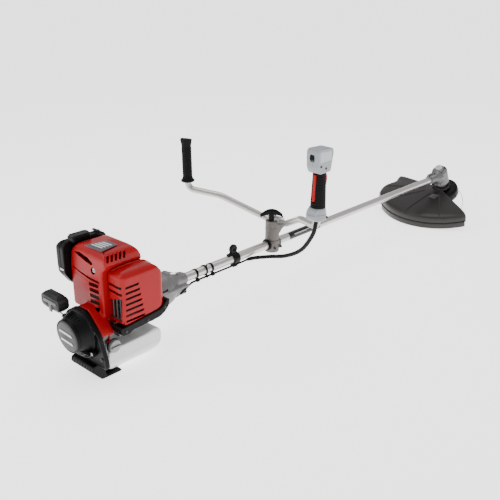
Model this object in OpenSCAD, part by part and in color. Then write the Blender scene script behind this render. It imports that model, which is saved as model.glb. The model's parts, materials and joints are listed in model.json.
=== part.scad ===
// Brush cutter with a small four-stroke engine, bull-horn handlebar and line trimmer head.
// +X points forward along the drive tube, +Y to the operator's left, +Z up. The floor is z = 0.

/* [Drive tube] */
// Length of the drive tube from the clutch housing nose to the gear case
tube_len = 1368; // [1300:4:1400]
// Outer diameter of the drive tube
tube_d = 26; // [26:1:26]
// Height of the drive tube axis over the floor
axis_h = 160; // [160:1:160]
// Drive shaft diameter
shaft_d = 7; // [6:0.5:8]

/* [Engine] */
// Angle between the crankshaft and the drive tube
crank_tilt = 4.9; // [4.7:0.1:5.1]
// Radius of the fan case
fan_r = 50; // [49:1:51]
// Radius of the clutch housing bell
bell_r = 48; // [48:1:50]
// Cylinder bore
bore_d = 39; // [38:1:40]
// Wall thickness of the red covers
cover_wall = 2.2; // [2:0.1:2.5]

/* [Handlebar] */
// Distance of each grip from the middle
grip_y = 255; // [250:5:260]
// Handlebar tube diameter
bar_d = 20; // [19:0.5:21]
// Length of the plain grip
grip_len = 136; // [126:2:140]

/* [Cutting head] */
// Outer radius of the guard
guard_r = 238; // [234:1:240]
// Tilt of the output shaft from the vertical
head_tilt = 30; // [29:0.5:31]
// Tilt of the guard from the floor
guard_tilt = 10; // [9:0.5:11]
// Radius of the line head
head_r = 60; // [56:1:62]

/* [Hidden] */
$fn = 64;

gap = 0.3;          // space between neighbouring solids
run = 0.05;         // radial clearance of a running fit
tube_wall = 1.6;
// the clutch housing nose stands at nose_x, so that the whole machine is centred on the origin
nose_x = -588.8;
centre_y = 3;
tube_r = tube_d / 2;

// stations along the crankshaft, measured back from the nose
bell_front = -62;
bell_back = -140;
case_front = -141;
case_back = -290;
fan_front = -312;
fan_back = -345;
recoil_back = -378;
cyl_x = -222;
web_r = 26;
pin_throw = 14;
cyl_base = 42;
case_r = 40;
fin_r = 37;

// gear head: where the tube axis and the output axis cross, from the nose
gear_x = tube_len + 85;
guard_x = gear_x - 13;
pinion_teeth = 14;
ring_teeth = 19;
neck_r = 20;         // lower neck of the gear case
neck_s = 60;
shaft_angle = 90 + head_tilt;
pinion_cone = atan2(sin(shaft_angle), ring_teeth / pinion_teeth + cos(shaft_angle));
ring_cone = shaft_angle - pinion_cone;
cone_in = 16;
cone_out = 26;
tooth_t = 1.5;
tooth_add = 0.8;
tooth_ded = 1.4;
rim_s = (axis_h - guard_r * sin(guard_tilt)) / cos(guard_tilt); // guard rim, down the guard's axis
plate_s = rim_s - 60;
head_s = 66;         // top of the line head, down the output shaft

// handlebar: corners of its centre line on the left side
bar_x = 390;
bar_z = 68;
bar_pts = [[bar_x, 0, bar_z], [bar_x, 37, bar_z], [306, 160, 135],
    [257, grip_y, 148], [254, grip_y + 2, 172 + grip_len]];
bar_bend = [0, 45, 90, 27, 0];
column_x = 372;
swivel_z = 14;
seam_z = 56;

// ---------- helpers ----------
function unit(v) = v / norm(v);
function flip_y(v) = [v[0], -v[1], v[2]];

module at_nose() { translate([nose_x, centre_y, axis_h]) children(); }

module on_crank() { at_nose() rotate([0, -crank_tilt, 0]) children(); }

// along the output shaft: z runs down the shaft, x runs rearward in the plane of the line
module on_output() { at_nose() translate([gear_x, 0, 0]) rotate([0, 180 - head_tilt, 0]) children(); }

// along the guard's axis: z runs down, x runs rearward in the plane of the guard
module on_guard() { at_nose() translate([guard_x, 0, 0]) rotate([0, 180 - guard_tilt, 0]) children(); }

module block(lo, hi) { translate(lo) cube(hi - lo); }

module bar_along_x(r, x0, x1) { translate([x0, 0, 0]) rotate([0, 90, 0]) cylinder(r = r, h = x1 - x0); }

module cone_along_x(r0, r1, x0, x1) {
    translate([x0, 0, 0]) rotate([0, 90, 0]) cylinder(r1 = r0, r2 = r1, h = x1 - x0);
}

module bar_along_y(r, y0, y1) { translate([0, y0, 0]) rotate([-90, 0, 0]) cylinder(r = r, h = y1 - y0); }

// turns +Z onto the direction v
module aim(v) {
    turn = atan2(v[1], v[0]);
    lean = acos(v[2] / norm(v));
    rotate([0, 0, turn]) rotate([0, lean, 0]) children();
}

module stick(a, b, r) { translate(a) aim(b - a) cylinder(r = r, h = norm(b - a)); }

// how far each bend starts from its corner
function bend_cut(p, bends, i) = bends[i] / tan(acos(unit(p[i - 1] - p[i]) * unit(p[i + 1] - p[i])) / 2);

// the corners p, each rounded by a curve of about the bend radius, in n steps
function rounded(p, bends, n) = [for (i = [0 : len(p) - 1])
    each i == 0 || i == len(p) - 1 || bends[i] == 0 ? [p[i]]
        : let (t = bend_cut(p, bends, i), a = p[i] + unit(p[i - 1] - p[i]) * t, b = p[i] + unit(p[i + 1] - p[i]) * t)
        [for (k = [0 : n]) let (f = k / n) a * (1 - f) * (1 - f) + p[i] * 2 * f * (1 - f) + b * f * f]];

// a curve in a plane from p[0] to p[2], pulled towards p[1]
function bowed(p) = [for (k = [0 : 12])
    let (f = k / 12, v = p[0] * (1 - f) * (1 - f) + p[1] * 2 * f * (1 - f) + p[2] * f * f) [v[0], v[1], 0]];

// a round bar swept along the points p; flat is a direction that the bar never runs along
module swept(p, r, sides, flat) {
    n = len(p);
    rings = [for (i = [0 : n - 1])
        let (d = unit(p[min(i + 1, n - 1)] - p[max(i - 1, 0)]), side = unit(cross(flat, d)), up = cross(d, side))
        for (j = [0 : sides - 1]) p[i] + side * r * cos(j * 360 / sides) + up * r * sin(j * 360 / sides)];
    faces = concat(
        [[for (j = [0 : sides - 1]) j]],
        [for (i = [0 : n - 2]) for (j = [0 : sides - 1]) let (k = (j + 1) % sides)
            [i * sides + j, (i + 1) * sides + j, (i + 1) * sides + k, i * sides + k]],
        [[for (j = [sides - 1 : -1 : 0]) (n - 1) * sides + j]]);
    polyhedron(points = rings, faces = faces, convexity = 6);
}

// a cap screw with its head at z = 0 and its shank down -Z
module screw(shank_r, shank_len, head_r, head_h) {
    difference() {
        union() {
            cylinder(r = head_r, h = head_h);
            translate([0, 0, -shank_len]) cylinder(r = shank_r, h = shank_len + 1);
        }
        translate([0, 0, head_h / 2]) cylinder(r = head_r / 2, h = head_h, $fn = 6);
    }
}

// ---------- engine core ----------
module crankcase() color("silver") on_crank() {
    difference() {
        union() {
            bar_along_x(case_r, fan_front + gap, case_front);
            bar_along_x(bell_r, case_front - 8, case_front);
            block([cyl_x - 34, -34, 0], [cyl_x + 34, 34, cyl_base]);
            block([cyl_x - 34, -30, -52], [cyl_x + 34, 30, -20]);
        }
        bar_along_x(web_r + 3, cyl_x - 17, cyl_x + 17);
        bar_along_x(11, fan_front - 1, case_front + 1);
        translate([cyl_x, 0, 0]) cylinder(d = bore_d + 1, h = cyl_base + 1);
        block([cyl_x - 24, -20, -46], [cyl_x + 24, 20, -20]);
        bar_along_x(case_r - 6, fan_front - 1, case_back - 6);
    }
}

module cylinder_block() color("gainsboro") on_crank() translate([cyl_x, 0, cyl_base + gap])
    difference() {
        union() {
            cylinder(d = bore_d + 9, h = 70);
            for (i = [0 : 6]) translate([0, 0, 8 + i * 9]) cylinder(r = fin_r, h = 2.4);
            translate([-34, -34, 0]) cube([68, 68, 5]);
        }
        translate([0, 0, -1]) cylinder(d = bore_d, h = 66);
        translate([0, 0, 60]) cylinder(r = 5, h = 12);
    }

module rocker_cover() color("dimgray") on_crank() translate([cyl_x, 0, cyl_base + 70 + 2 * gap])
    difference() {
        intersection() {
            translate([-30, -32, 0]) cube([60, 64, 26]);
            bar_along_y(38, -40, 40);
        }
        translate([-26, -28, -1]) cube([52, 56, 14]);
        translate([-18, -28, 12]) cube([36, 56, 9]);
    }

module crankshaft() color("slategray") on_crank() {
    for (s = [-1, 1])
        translate([cyl_x, 0, 0]) rotate([0, s * 90, 0]) translate([0, 0, 5]) cylinder(r = web_r, h = 9);
    bar_along_x(7, cyl_x + 13, bell_back + 14);
    bar_along_x(7, recoil_back + 28, cyl_x - 13);
}

module connecting_rod() color("lightgray") on_crank() translate([cyl_x, 0, pin_throw]) {
    rod_len = 62;
    difference() {
        union() {
            bar_along_x(9.5, -4, 4);
            translate([-3, -5, 8]) cube([6, 10, rod_len - 14]);
            translate([0, 0, rod_len]) bar_along_x(7.5, -4, 4);
        }
        bar_along_x(5 + run, -5, 5);
        translate([0, 0, rod_len]) bar_along_x(4 + run, -5, 5);
    }
    bar_along_x(5, -4.6, 4.6);
}

module piston() color("whitesmoke") on_crank() translate([cyl_x, 0, pin_throw + 62]) {
    difference() {
        translate([0, 0, -12]) cylinder(d = bore_d - 2 * run, h = 30);
        translate([0, 0, -13]) cylinder(d = bore_d - 6, h = 24);
    }
    bar_along_x(4, -bore_d / 2 + 3.5, bore_d / 2 - 3.5);
}

module flywheel() color("darkgray") on_crank() {
    difference() {
        union() {
            bar_along_x(30, fan_back + 12, fan_front - 8);
            bar_along_x(fan_r - 10, fan_front - 10, fan_front - 7);
            for (i = [0 : 11]) rotate([i * 30, 0, 0])
                block([fan_back + 10, 28, -1.2], [fan_front - 9, fan_r - 11, 1.2]);
        }
        bar_along_x(7 + gap, fan_back, fan_front);
    }
}

// outline of the rim that carries the starter and stands over the foot
rim_yz = [[-20, 60], [20, 60], [72, 8], [78, -18], [88, -60], [88, -83.5], [-88, -83.5], [-88, -60], [-78, -18],
    [-72, 8]];
module fan_case() color("#222222") on_crank()
    difference() {
        union() {
            bar_along_x(fan_r, fan_back, fan_front - gap);
            intersection() {
                in_x(400) polygon(rim_yz);
                block([fan_back, -100, -100], [fan_back + 10, 100, 100]);
            }
        }
        bar_along_x(fan_r - 6, fan_back - 1, fan_front - 5);
        bar_along_x(case_r - 4, fan_front - 8, fan_front + 1);
    }

module recoil_cover() color("#1c1c1c") on_crank()
    difference() {
        union() {
            bar_along_x(fan_r + 4, fan_back - 5, fan_back - gap);
            cone_along_x(46, fan_r, recoil_back + 4, fan_back - 4);
            bar_along_x(41, recoil_back, recoil_back + 10);
        }
        bar_along_x(fan_r - 6, fan_back - 2, fan_back + 1);
        cone_along_x(39, fan_r - 6, recoil_back + 8, fan_back - 2);
        for (i = [0 : 17]) rotate([i * 20, 0, 0])
            translate([fan_back - 16, 0, fan_r - 6]) rotate([0, 68, 0]) translate([-4, -2.5, -8]) cube([8, 5, 16]);
        // a pocket for the handle, and a way through for the rope
        rotate([0, crank_tilt, 0]) {
            translate(handle_at + [0, 0, 7]) cube([34, 78, 66], center = true);
            stick(rope_from - [0, 0, 6], handle_at, 4);
        }
    }

module starter_reel() color("black") on_crank()
    difference() {
        union() {
            bar_along_x(32, recoil_back + 14, recoil_back + 16);
            bar_along_x(24, recoil_back + 14, recoil_back + 26);
            bar_along_x(32, recoil_back + 24, recoil_back + 26);
        }
        bar_along_x(6, recoil_back + 12, recoil_back + 27);
    }

handle_at = [-367, 64, 38];
rope_from = [-357, 38, 0];
module starter_rope() color("dimgray") at_nose() stick(rope_from, handle_at - [0, 0, 26.2], 1.8);

module starter_handle() color("#151515") at_nose() translate(handle_at)
    difference() {
        intersection() {
            rotate([90, 0, 0]) linear_extrude(height = 74, center = true)
                polygon([[-15, -14], [-8, -24], [8, -24], [15, -14], [15, 12], [6, 24], [-8, 24], [-15, 14]]);
            rotate([90, 0, 90]) linear_extrude(height = 40, center = true)
                polygon([[-37, -10], [-24, -24], [24, -24], [37, -8], [37, 10], [22, 24], [-22, 24], [-37, 10]]);
        }
        translate([-18, -22, -3]) cube([6, 44, 7]);
    }

module ignition_coil() color("#303030") on_crank()
    block([-300, -12, case_r + 0.2], [-288, 12, case_r + 10]);

module spark_plug() color("white") on_crank() translate([cyl_x, 0, cyl_base + 50]) rotate([90, 0, 0])
    translate([0, 0, bore_d / 2 + 20]) {
        cylinder(r = 4, h = 8);
        translate([0, 0, 2]) cylinder(r = 6, h = 4, $fn = 6);
    }

module plug_cap() color("#181818") on_crank() translate([cyl_x, -39.5, cyl_base + 50])
    difference() {
        translate([-9, -9.9, -9]) cube([18, 9.4, 26]);
        rotate([90, 0, 0]) translate([0, 0, -2]) cylinder(r = 6.5, h = 10.3);
    }

// ---------- red covers ----------
carb_x = -222;
intake_z = 82;
intake_r = 12;
primer_at = [-205, 80.4, 36];
cover_lo_z = -36;
top_yz = [[79, 5], [80, 118], [72, 156], [54, 171], [2, 177], [-42, 173], [-55, 163], [-63, 136],
    [-44, 120], [-44, cover_lo_z], [-20, cover_lo_z], [-12, 5]];
top_xz = [[-303, cover_lo_z], [-306, 100], [-302, 160], [-290, 178], [-222, 179], [-196, 152], [-186, 110],
    [-186, cover_lo_z]];
hood_yz = [[-20, 28], [20, 28], [68, -20], [70, -60], [-74, -60], [-70, -20]];
hood_back = -332;
hood_low = -28;
module in_y(reach) { rotate([90, 0, 0]) linear_extrude(height = 2 * reach, center = true) children(); }
module in_x(reach) { rotate([90, 0, 90]) linear_extrude(height = 2 * reach, center = true) children(); }

module top_cover() color("crimson") at_nose()
    difference() {
        union() {
            intersection() {
                in_y(200) polygon(top_xz);
                in_x(400) polygon(top_yz);
            }
            // hood over the fan case
            intersection() {
                in_x(400) polygon(hood_yz);
                block([hood_back, -80, hood_low], [-302, 80, 40]);
            }
        }
        intersection() {
            in_y(199) offset(delta = -cover_wall) polygon(top_xz);
            in_x(401) offset(delta = -cover_wall) polygon(top_yz);
        }
        intersection() {
            in_x(400) offset(delta = -cover_wall) polygon(hood_yz);
            block([hood_back - 1, -80, hood_low - 1], [-305 - cover_wall, 80, 40]);
        }
        block([-298, -41.8, cover_lo_z - 1], [-188, 76.8, 12]);
        block([-188.5, -200, cover_lo_z - 1], [-180, 200, 60]);
        rotate([0, -crank_tilt, 0]) bar_along_x(fan_r + 3, fan_back - 5, -292);
        for (i = [0 : 4]) translate([-310, -33, 86 - 15 * i]) cube([14, 24, 8]);
        translate([-310, -18, 140]) rotate([12, 0, 0]) cube([14, 66, 6]);
        translate([-310, -20, 122]) rotate([0, 90, 0]) cylinder(r = 7, h = 14);
        for (i = [0 : 4]) translate([-290 + 12 * i, -66, 148]) rotate([0, 24, 0]) cube([5, 20, 24]);
        block([-246, -40, 174.5], [-226, -16, 182]);
        // ways through for the plug cap, the intake tube and the primer bulb
        rotate([0, -crank_tilt, 0]) translate([cyl_x, 0, cyl_base + 50]) bar_along_y(20, -60, -30);
        translate([carb_x, 0, intake_z]) bar_along_y(intake_r + gap, 60, 90);
        translate(primer_at) bar_along_y(10 + gap, -20, 20);
    }

muf_xz = [[-286, -7], [-288, 118], [-278, 126], [-215, 131], [-180, 124], [-156, 92], [-148, 60], [-149, 22],
    [-172, 3]];
muf_xy = [[-287, -45.5], [-287, -88], [-280, -96], [-270, -98], [-165, -97], [-152, -88], [-146, -60], [-146, -45.5]];
module muffler_cover() color("crimson") at_nose()
    difference() {
        intersection() {
            in_y(200) polygon(muf_xz);
            translate([0, 0, -50]) linear_extrude(height = 200) polygon(muf_xy);
            in_x(400) polygon([[-44, -20], [-44, 117], [-58, 130], [-82, 128], [-98, 112], [-100, -20]]);
        }
        intersection() {
            in_y(199) offset(delta = -cover_wall) polygon(muf_xz);
            translate([0, 0, -50]) linear_extrude(height = 200)
                polygon([[-284.5, -44], [-284.5, -87], [-279, -93.6], [-270, -95.6], [-166, -94.6], [-154, -86],
                    [-148.6, -60], [-148.6, -44]]);
            in_x(400) polygon([[-40, -20], [-40, 114], [-58, 127], [-81, 125.5], [-95.6, 111], [-97, -20]]);
        }
        block([-292, -91, 6], [-280, -52, 56]);
        for (i = [0 : 6]) translate([-278, -101, 8 + 14 * i]) rotate([0, -3, 0]) cube([44 + i, 8, 3.5]);
        for (i = [0 : 1]) translate([-292, -90, 70 + 14 * i]) rotate([12, 0, 0]) cube([12, 38, 3.5]);
    }

module muffler() color("dimgray") at_nose()
    difference() {
        union() {
            block([-270, -88, 14], [-176, -50, 104]);
            translate([-276, -71, 33]) bar_along_x(11, 0, 10);
        }
        block([-267, -85, 17], [-179, -53, 101]);
        translate([-280, -71, 33]) bar_along_x(8, 0, 16);
    }

module heat_tray() color("#1e1e1e") at_nose()
    difference() {
        intersection() {
            in_y(200) polygon([[-296, -42], [-296, -8], [-287, -8], [-172, 2], [-149, 20], [-142, 20], [-146, 2],
                [-160, -12], [-176, -22], [-270, -26], [-276, -42]]);
            block([-300, -100, -60], [-130, -49, 60]);
        }
        in_y(92) polygon([[-290, -4], [-286, -20], [-180, -12], [-154, 8], [-150, 30], [-290, 30]]);
    }

// ---------- fuel and air ----------
module carburetor() color("silver") at_nose()
    difference() {
        union() {
            block([carb_x - 20, 40, 62], [carb_x + 20, 72, 102]);
            translate([carb_x, 56, 58]) cylinder(r = 15, h = 8);
        }
        translate([carb_x, 0, intake_z]) bar_along_y(8, 30, 80);
        translate([carb_x + 12, 56, 98]) cylinder(r = 2.5, h = 10);
    }

module throttle_lever() color("gold") at_nose() translate([carb_x + 12, 56, 102.4]) {
    translate([0, 0, -3]) cylinder(r = 2.45, h = 6);
    translate([-4, -12, 0]) cube([8, 24, 2.5]);
}

module primer_bulb() color("#dddddd") at_nose() translate(primer_at) rotate([-90, 0, 0])
    difference() {
        cylinder(r1 = 10, r2 = 7, h = 13);
        translate([0, 0, -1]) cylinder(r1 = 8, r2 = 5, h = 12);
    }

module choke_lever() color("#111111") at_nose() translate([-212, 88, 170 + gap]) {
    cylinder(r = 6, h = 4);
    translate([-3, -2, 0]) cube([6, 22, 4]);
}

air_xz = [[-322, 84], [-323, 158], [-312, 170], [-200, 170], [-190, 158], [-190, 78], [-214, 54], [-300, 54]];
module air_cleaner_case() color("#1b1b1b") at_nose()
    difference() {
        union() {
            intersection() {
                in_y(200) polygon(air_xz);
                block([-400, 80.5, 40], [-100, 94, 200]);
            }
            translate([carb_x, 0, intake_z]) bar_along_y(intake_r, 72.3, 82);
        }
        intersection() {
            in_y(199) offset(delta = -2.5) polygon(air_xz);
            block([-400, 83.5, 40], [-100, 95, 200]);
        }
        translate([carb_x, 0, intake_z]) bar_along_y(8, 70, 90);
    }

module filter_element() color("tan") at_nose() block([-300, 84, 90], [-210, 93, 150]);

module air_cleaner_cover() color("#202020") at_nose()
    difference() {
        intersection() {
            in_y(200) polygon(air_xz);
            in_x(400) polygon([[94.3, 50], [94.3, 172], [104, 170], [110, 158], [110, 92], [100, 52]]);
        }
        intersection() {
            in_y(199) offset(delta = -2.5) polygon(air_xz);
            in_x(401) polygon([[90, 56], [90, 168], [102, 166], [107, 156], [107, 94], [98, 56]]);
        }
    }

cap_at = [-288, -50.5, -74];
module fuel_cap() color("lightgray") at_nose() translate(cap_at) {
    difference() {
        bar_along_y(17, -11, 0);
        bar_along_y(12, -8, 0.5);
    }
    translate([-13, -16, -2]) cube([26, 6, 4]);
}

tank_xz = [[-301, -118], [-300, -96], [-294, -88], [-180, -86], [-144, -80], [-132, -92], [-132, -120],
    [-150, -142], [-180, -151], [-280, -152], [-300, -140]];
module fuel_tank() color("white") at_nose()
    difference() {
        union() {
            intersection() {
                in_y(200) polygon(tank_xz);
                in_x(400) polygon([[-36, -152], [-50, -130], [-50, -80], [58, -80], [66, -92], [66, -130], [52, -152]]);
            }
            block([-302, -47, -100], [-274, -24, -61]);
            translate([cap_at[0], 0, cap_at[2]]) bar_along_y(10.5, -56, -30);
        }
        intersection() {
            in_y(199) offset(delta = -2.5) polygon(tank_xz);
            in_x(401) polygon([[-35, -149], [-47.5, -129], [-47.5, -82], [57, -82], [63.5, -93], [63.5, -129], [51, -149]]);
        }
        translate([cap_at[0], 0, cap_at[2]]) bar_along_y(8, -60, -27);
        block([-298, -43, -110], [-279, -27, -68]);
    }

module base_foot() color("#191919") at_nose()
    difference() {
        in_y(46) polygon([[-348, -116], [-350, -130], [-322, -160], [-262, -160], [-262, -153.5], [-308, -153.5],
            [-312, -136], [-312, -118], [-330, -112]]);
        in_y(30) polygon([[-342, -130], [-322, -154], [-314, -150], [-318, -134], [-335, -124]]);
    }

// ---------- clutch ----------
module clutch_shoes() color("peru") on_crank()
    for (s = [-1, 1]) difference() {
        intersection() {
            bar_along_x(30, bell_back + 16, bell_back + 30);
            block([-200, s > 0 ? 1 : -40, -40], [0, s > 0 ? 40 : -1, 40]);
        }
        bar_along_x(14, bell_back + 15, bell_back + 31);
    }

module clutch_drum() color("darkgray") on_crank()
    difference() {
        union() {
            bar_along_x(35, bell_back + 14, bell_back + 36);
            bar_along_x(7, bell_back + 34, -26);
        }
        bar_along_x(32, bell_back + 13, bell_back + 33);
    }

module clutch_housing() color("silver")
    difference() {
        union() {
            on_crank() {
                bar_along_x(bell_r, bell_back + gap, bell_front - 12);
                cone_along_x(bell_r, 24, bell_front - 12, -26);
                for (i = [0 : 3]) rotate([45 + 90 * i, 0, 0])
                    translate([0, 0, bell_r - 2]) bar_along_x(7, bell_back + gap, bell_back + 10);
            }
            at_nose() {
                bar_along_x(tube_r + 5, -52, 0);
                block([-34, -9, -42], [0, 9, -8]);
                block([-34, -5, 14], [-8, 5, 22]);
            }
        }
        on_crank() {
            bar_along_x(39, bell_back - 1, bell_back + 42);
            bar_along_x(13, bell_back + 40, bell_front + 4);
            bar_along_x(9, bell_back + 40, -22);
        }
        at_nose() {
            bar_along_x(tube_r, -20, 1);
            block([-36, -1, -43], [1, 1, -12]);
        }
    }

// rings: one behind the clutch drum, two in the gear case
module bearings() color("lightsteelblue") {
    on_crank() difference() {
        bar_along_x(13 - run, bell_front - 12, bell_front);
        bar_along_x(7 + run, bell_front - 13, bell_front + 1);
    }
    at_nose() translate([gear_x, 0, 0]) difference() {
        bar_along_x(11, -66, -56);
        bar_along_x(shaft_d / 2 + run, -67, -55);
    }
    on_output() translate([0, 0, 32]) difference() {
        cylinder(r = 15, h = 10);
        translate([0, 0, -1]) cylinder(r = 6 + run, h = 12);
    }
}

// socket-head screws that hold parts of the frame together
module frame_screws() color("#151515") {
    on_crank() for (i = [0 : 3]) rotate([45 + 90 * i, 0, 0])
        translate([bell_back + 10 + gap, 0, bell_r + 1.5]) rotate([0, 90, 0]) screw(2, 5, 4, 4);
    at_nose() {
        for (z = [-20, -34]) translate([-9, -9.3, z]) rotate([90, 0, 0]) screw(2.5, 3, 4.5, 5);
        for (x = [-86, -66]) translate([gear_x + x, -8, tube_r + 9.3]) screw(2, 5, 4, 4);
    }
}

// ---------- tube ----------
module main_tube() color("lightgray") at_nose() difference() {
    bar_along_x(tube_r, -20 + gap, tube_len);
    bar_along_x(tube_r - tube_wall, -21, tube_len + 1);
}

module drive_shaft() color("gray") at_nose() bar_along_x(shaft_d / 2, -12, gear_x - 21);

bush_n = 6;
module shaft_bushes() color("#333333") at_nose()
    for (i = [0 : bush_n - 1]) translate([120 + i * 220, 0, 0]) difference() {
        bar_along_x(tube_r - tube_wall, -12, 12);
        bar_along_x(shaft_d / 2 + run, -13, 13);
    }

hanger_x = 196;
eye_z = 30;
eye_r = 6;
module hanger() color("#141414") at_nose() difference() {
    union() {
        bar_along_x(tube_r + 4, hanger_x - 8, hanger_x + 16);
        block([hanger_x - 14, -5, tube_r + 0.5], [hanger_x + 14, 5, 24]);
        translate([hanger_x, 0, eye_z]) bar_along_y(14, -5, 5);
        block([hanger_x - 24, -6, tube_r + gap], [hanger_x - 10, 6, tube_r + 5]);
        block([hanger_x - 6, -7, -tube_r - 12], [hanger_x + 14, 7, -tube_r - 1]);
    }
    bar_along_x(tube_r, hanger_x - 30, hanger_x + 30);
    block([hanger_x - 7, -1, -tube_r - 13], [hanger_x + 17, 1, -tube_r + 2]);
    translate([hanger_x, 0, eye_z]) bar_along_y(eye_r, -6, 6);
    at_cable_run();
}

// space for the throttle cable under the tube
cable_r = 3;
cable_y = -12;
cable_z = -tube_r - 2.6;
module at_cable_run() { translate([0, cable_y, cable_z]) bar_along_x(cable_r + 0.5, -20, 320); }

module cable_clips() color("#101010") at_nose()
    for (x = [40, 100]) translate([x, 0, 0]) difference() {
        union() {
            bar_along_x(tube_r + 1.5, -4, 4);
            translate([0, cable_y, cable_z]) bar_along_x(cable_r + 2.2, -4, 4);
        }
        bar_along_x(tube_r, -5, 5);
        at_cable_run();
    }

// ---------- handlebar ----------
module clamp_column() color("gray") at_nose() difference() {
    union() {
        translate([column_x, 0, -tube_r - 12]) cylinder(r = 19, h = tube_r + 12 + swivel_z - gap);
        bar_along_x(tube_r + 7, column_x - 21, column_x + 21);
        bar_along_x(tube_r + 5, column_x - 27, column_x - 20);
    }
    bar_along_x(tube_r, column_x - 40, column_x + 40);
    block([column_x - 40, -40, swivel_z - gap], [column_x + 40, 40, swivel_z + 20]);
    block([column_x - 30, 0, -2], [column_x + 30, 40, -1]);
    translate([column_x, 0, tube_r + 0.5]) cylinder(r = 5, h = 20);
}

module swivel_head() color("gray") at_nose() difference() {
    union() {
        translate([column_x, 0, swivel_z]) cylinder(r = 18, h = seam_z - swivel_z + 20);
        block([column_x, -20, bar_z - 16], [bar_x + 16, 20, bar_z - gap / 2]);
        block([bar_x - 16, -20, bar_z - 20], [bar_x + 16, 20, bar_z - gap / 2]);
    }
    translate([bar_x, 0, bar_z]) bar_along_y(bar_d / 2 + 0.01, -40, 40);
    block([column_x - 1, -21, bar_z - gap / 2], [bar_x + 20, 21, bar_z + 40]);
    translate([column_x - 6, 0, swivel_z - 1]) cylinder(r = 4.2, h = 80);
}

module bar_cap() color("lightgray") at_nose() difference() {
    block([bar_x - 16.5, -20, bar_z + gap / 2], [bar_x + 16, 20, bar_z + bar_d / 2 + 4]);
    translate([bar_x, 0, bar_z]) bar_along_y(bar_d / 2 + 0.01, -40, 40);
    translate([column_x, 0, bar_z - 20]) cylinder(r = 18 + gap, h = 60);
    for (s = [-1, 1]) translate([bar_x + 12.7, 14 * s, bar_z]) cylinder(r = 2.3, h = 30);
}

module cap_screws() color("silver") at_nose()
    for (s = [-1, 1]) translate([bar_x + 12.7, 14 * s, bar_z + bar_d / 2 + 4 + gap]) screw(2, 12, 3.2, 3);

module wing_knob() color("#121212") at_nose() translate([column_x - 6, 0, seam_z + 20 + gap]) {
    translate([0, 0, -50]) cylinder(r = 4, h = 52);
    cylinder(r = 8, h = 26);
    translate([0, 0, 12]) rotate([0, 0, -42])
        in_y(6) polygon([[-42, 0], [-34, 12], [-10, 20], [10, 20], [34, 12], [42, 0], [20, 6], [-20, 6]]);
}

grip_dir = unit(bar_pts[4] - bar_pts[3]);
bar_line = [bar_pts[0], bar_pts[1], bar_pts[2], bar_pts[3], bar_pts[4] - grip_dir * 5];
bar_path = rounded(bar_line, bar_bend, 6);
module handlebar() color("lightgray") at_nose()
    swept(concat([for (i = [len(bar_path) - 1 : -1 : 1]) flip_y(bar_path[i])], bar_path), bar_d / 2, 18, [1, 0, 0]);

module on_grip(side) {
    base = bar_pts[3] + grip_dir * 24;
    p = side > 0 ? base : flip_y(base);
    translate(p) aim(side > 0 ? grip_dir : flip_y(grip_dir)) children();
}

module left_grip() color("#161616") at_nose() on_grip(1) difference() {
    union() {
        cylinder(r = 21, h = 5);
        cylinder(r1 = 18, r2 = 14, h = 18);
        translate([0, 0, 15]) cylinder(r1 = 14, r2 = 15, h = grip_len - 35);
        translate([0, 0, grip_len - 20]) cylinder(r1 = 15, r2 = 18, h = 20);
    }
    translate([0, 0, -30]) cylinder(r = bar_d / 2 + 0.01, h = grip_len + 26);
}

grip_h = 100;   // hand part of the throttle grip, above its collar
head_h = 70;
// the throttle housing's own frame: x forward, z up along the grip
module on_throttle() { on_grip(-1) rotate([0, 0, -atan2(-grip_dir[1], grip_dir[0])]) children(); }

module throttle_housing() color("lightsteelblue") at_nose() on_throttle() difference() {
    union() {
        translate([-3, 0, 0]) cylinder(r1 = 27, r2 = 23, h = 34);
        translate([0, 0, 32]) cylinder(r1 = 21, r2 = 17.5, h = grip_h);
        translate([0, 0, 30 + grip_h]) in_y(19) polygon([[-24, 0], [-33, 18], [-35, head_h - 8],
            [-28, head_h - 2], [30, head_h - 6], [34, head_h - 20], [22, 0]]);
    }
    translate([0, 0, -30]) cylinder(r = bar_d / 2 + 0.01, h = grip_len + 50);
    block([5, -4, 60], [30, 4, 133]);
    block([-30, -4, 48], [-12, 4, 130]);
    block([-40, -7, 164], [-29, 7, 184]);
    translate([20, 0, 124]) bar_along_y(2 + run, -7, 7);
    translate([-19, 0, 124]) bar_along_y(2 + run, -7, 7);
}

module throttle_trigger() color("red") at_nose() on_throttle() {
    difference() {
        in_y(3.6) polygon([[15, 112], [13, 126], [18, 130], [24, 127], [31, 116], [32, 104], [27, 86], [22, 84],
            [23, 100], [18, 110]]);
        translate([20, 0, 124]) bar_along_y(2, -8, 8);
    }
    translate([20, 0, 124]) bar_along_y(2, -6.8, 6.8);
}

module lock_lever() color("red") at_nose() on_throttle() {
    difference() {
        in_y(3.6) polygon([[-15, 118], [-16, 127], [-22, 126], [-22, 100], [-22.5, 54], [-20, 52], [-17, 56],
            [-17, 100]]);
        translate([-19, 0, 124]) bar_along_y(2, -8, 8);
    }
    translate([-19, 0, 124]) bar_along_y(2, -6.8, 6.8);
}

module stop_switch() color("black") at_nose() on_throttle()
    block([-37, -6.5, 168], [-29.5, 6.5, 180]);

// the cable leaves the grip, curves in under the bar, and runs along the tube to the engine
cable_pts = [[269, -grip_y - 8, 170], [284, -240, 132], [306, -178, 58], [326, -104, 10], [322, -50, -10],
    [270, cable_y - 1, cable_z], [215, cable_y, cable_z], [20, cable_y, cable_z], [-44, -34, -22]];
cable_bend = [0, 60, 90, 70, 60, 50, 0, 30, 0];
module throttle_cable() color("#0d0d0d") at_nose() swept(rounded(cable_pts, cable_bend, 6), cable_r, 10, [0, 0, 1]);

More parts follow.
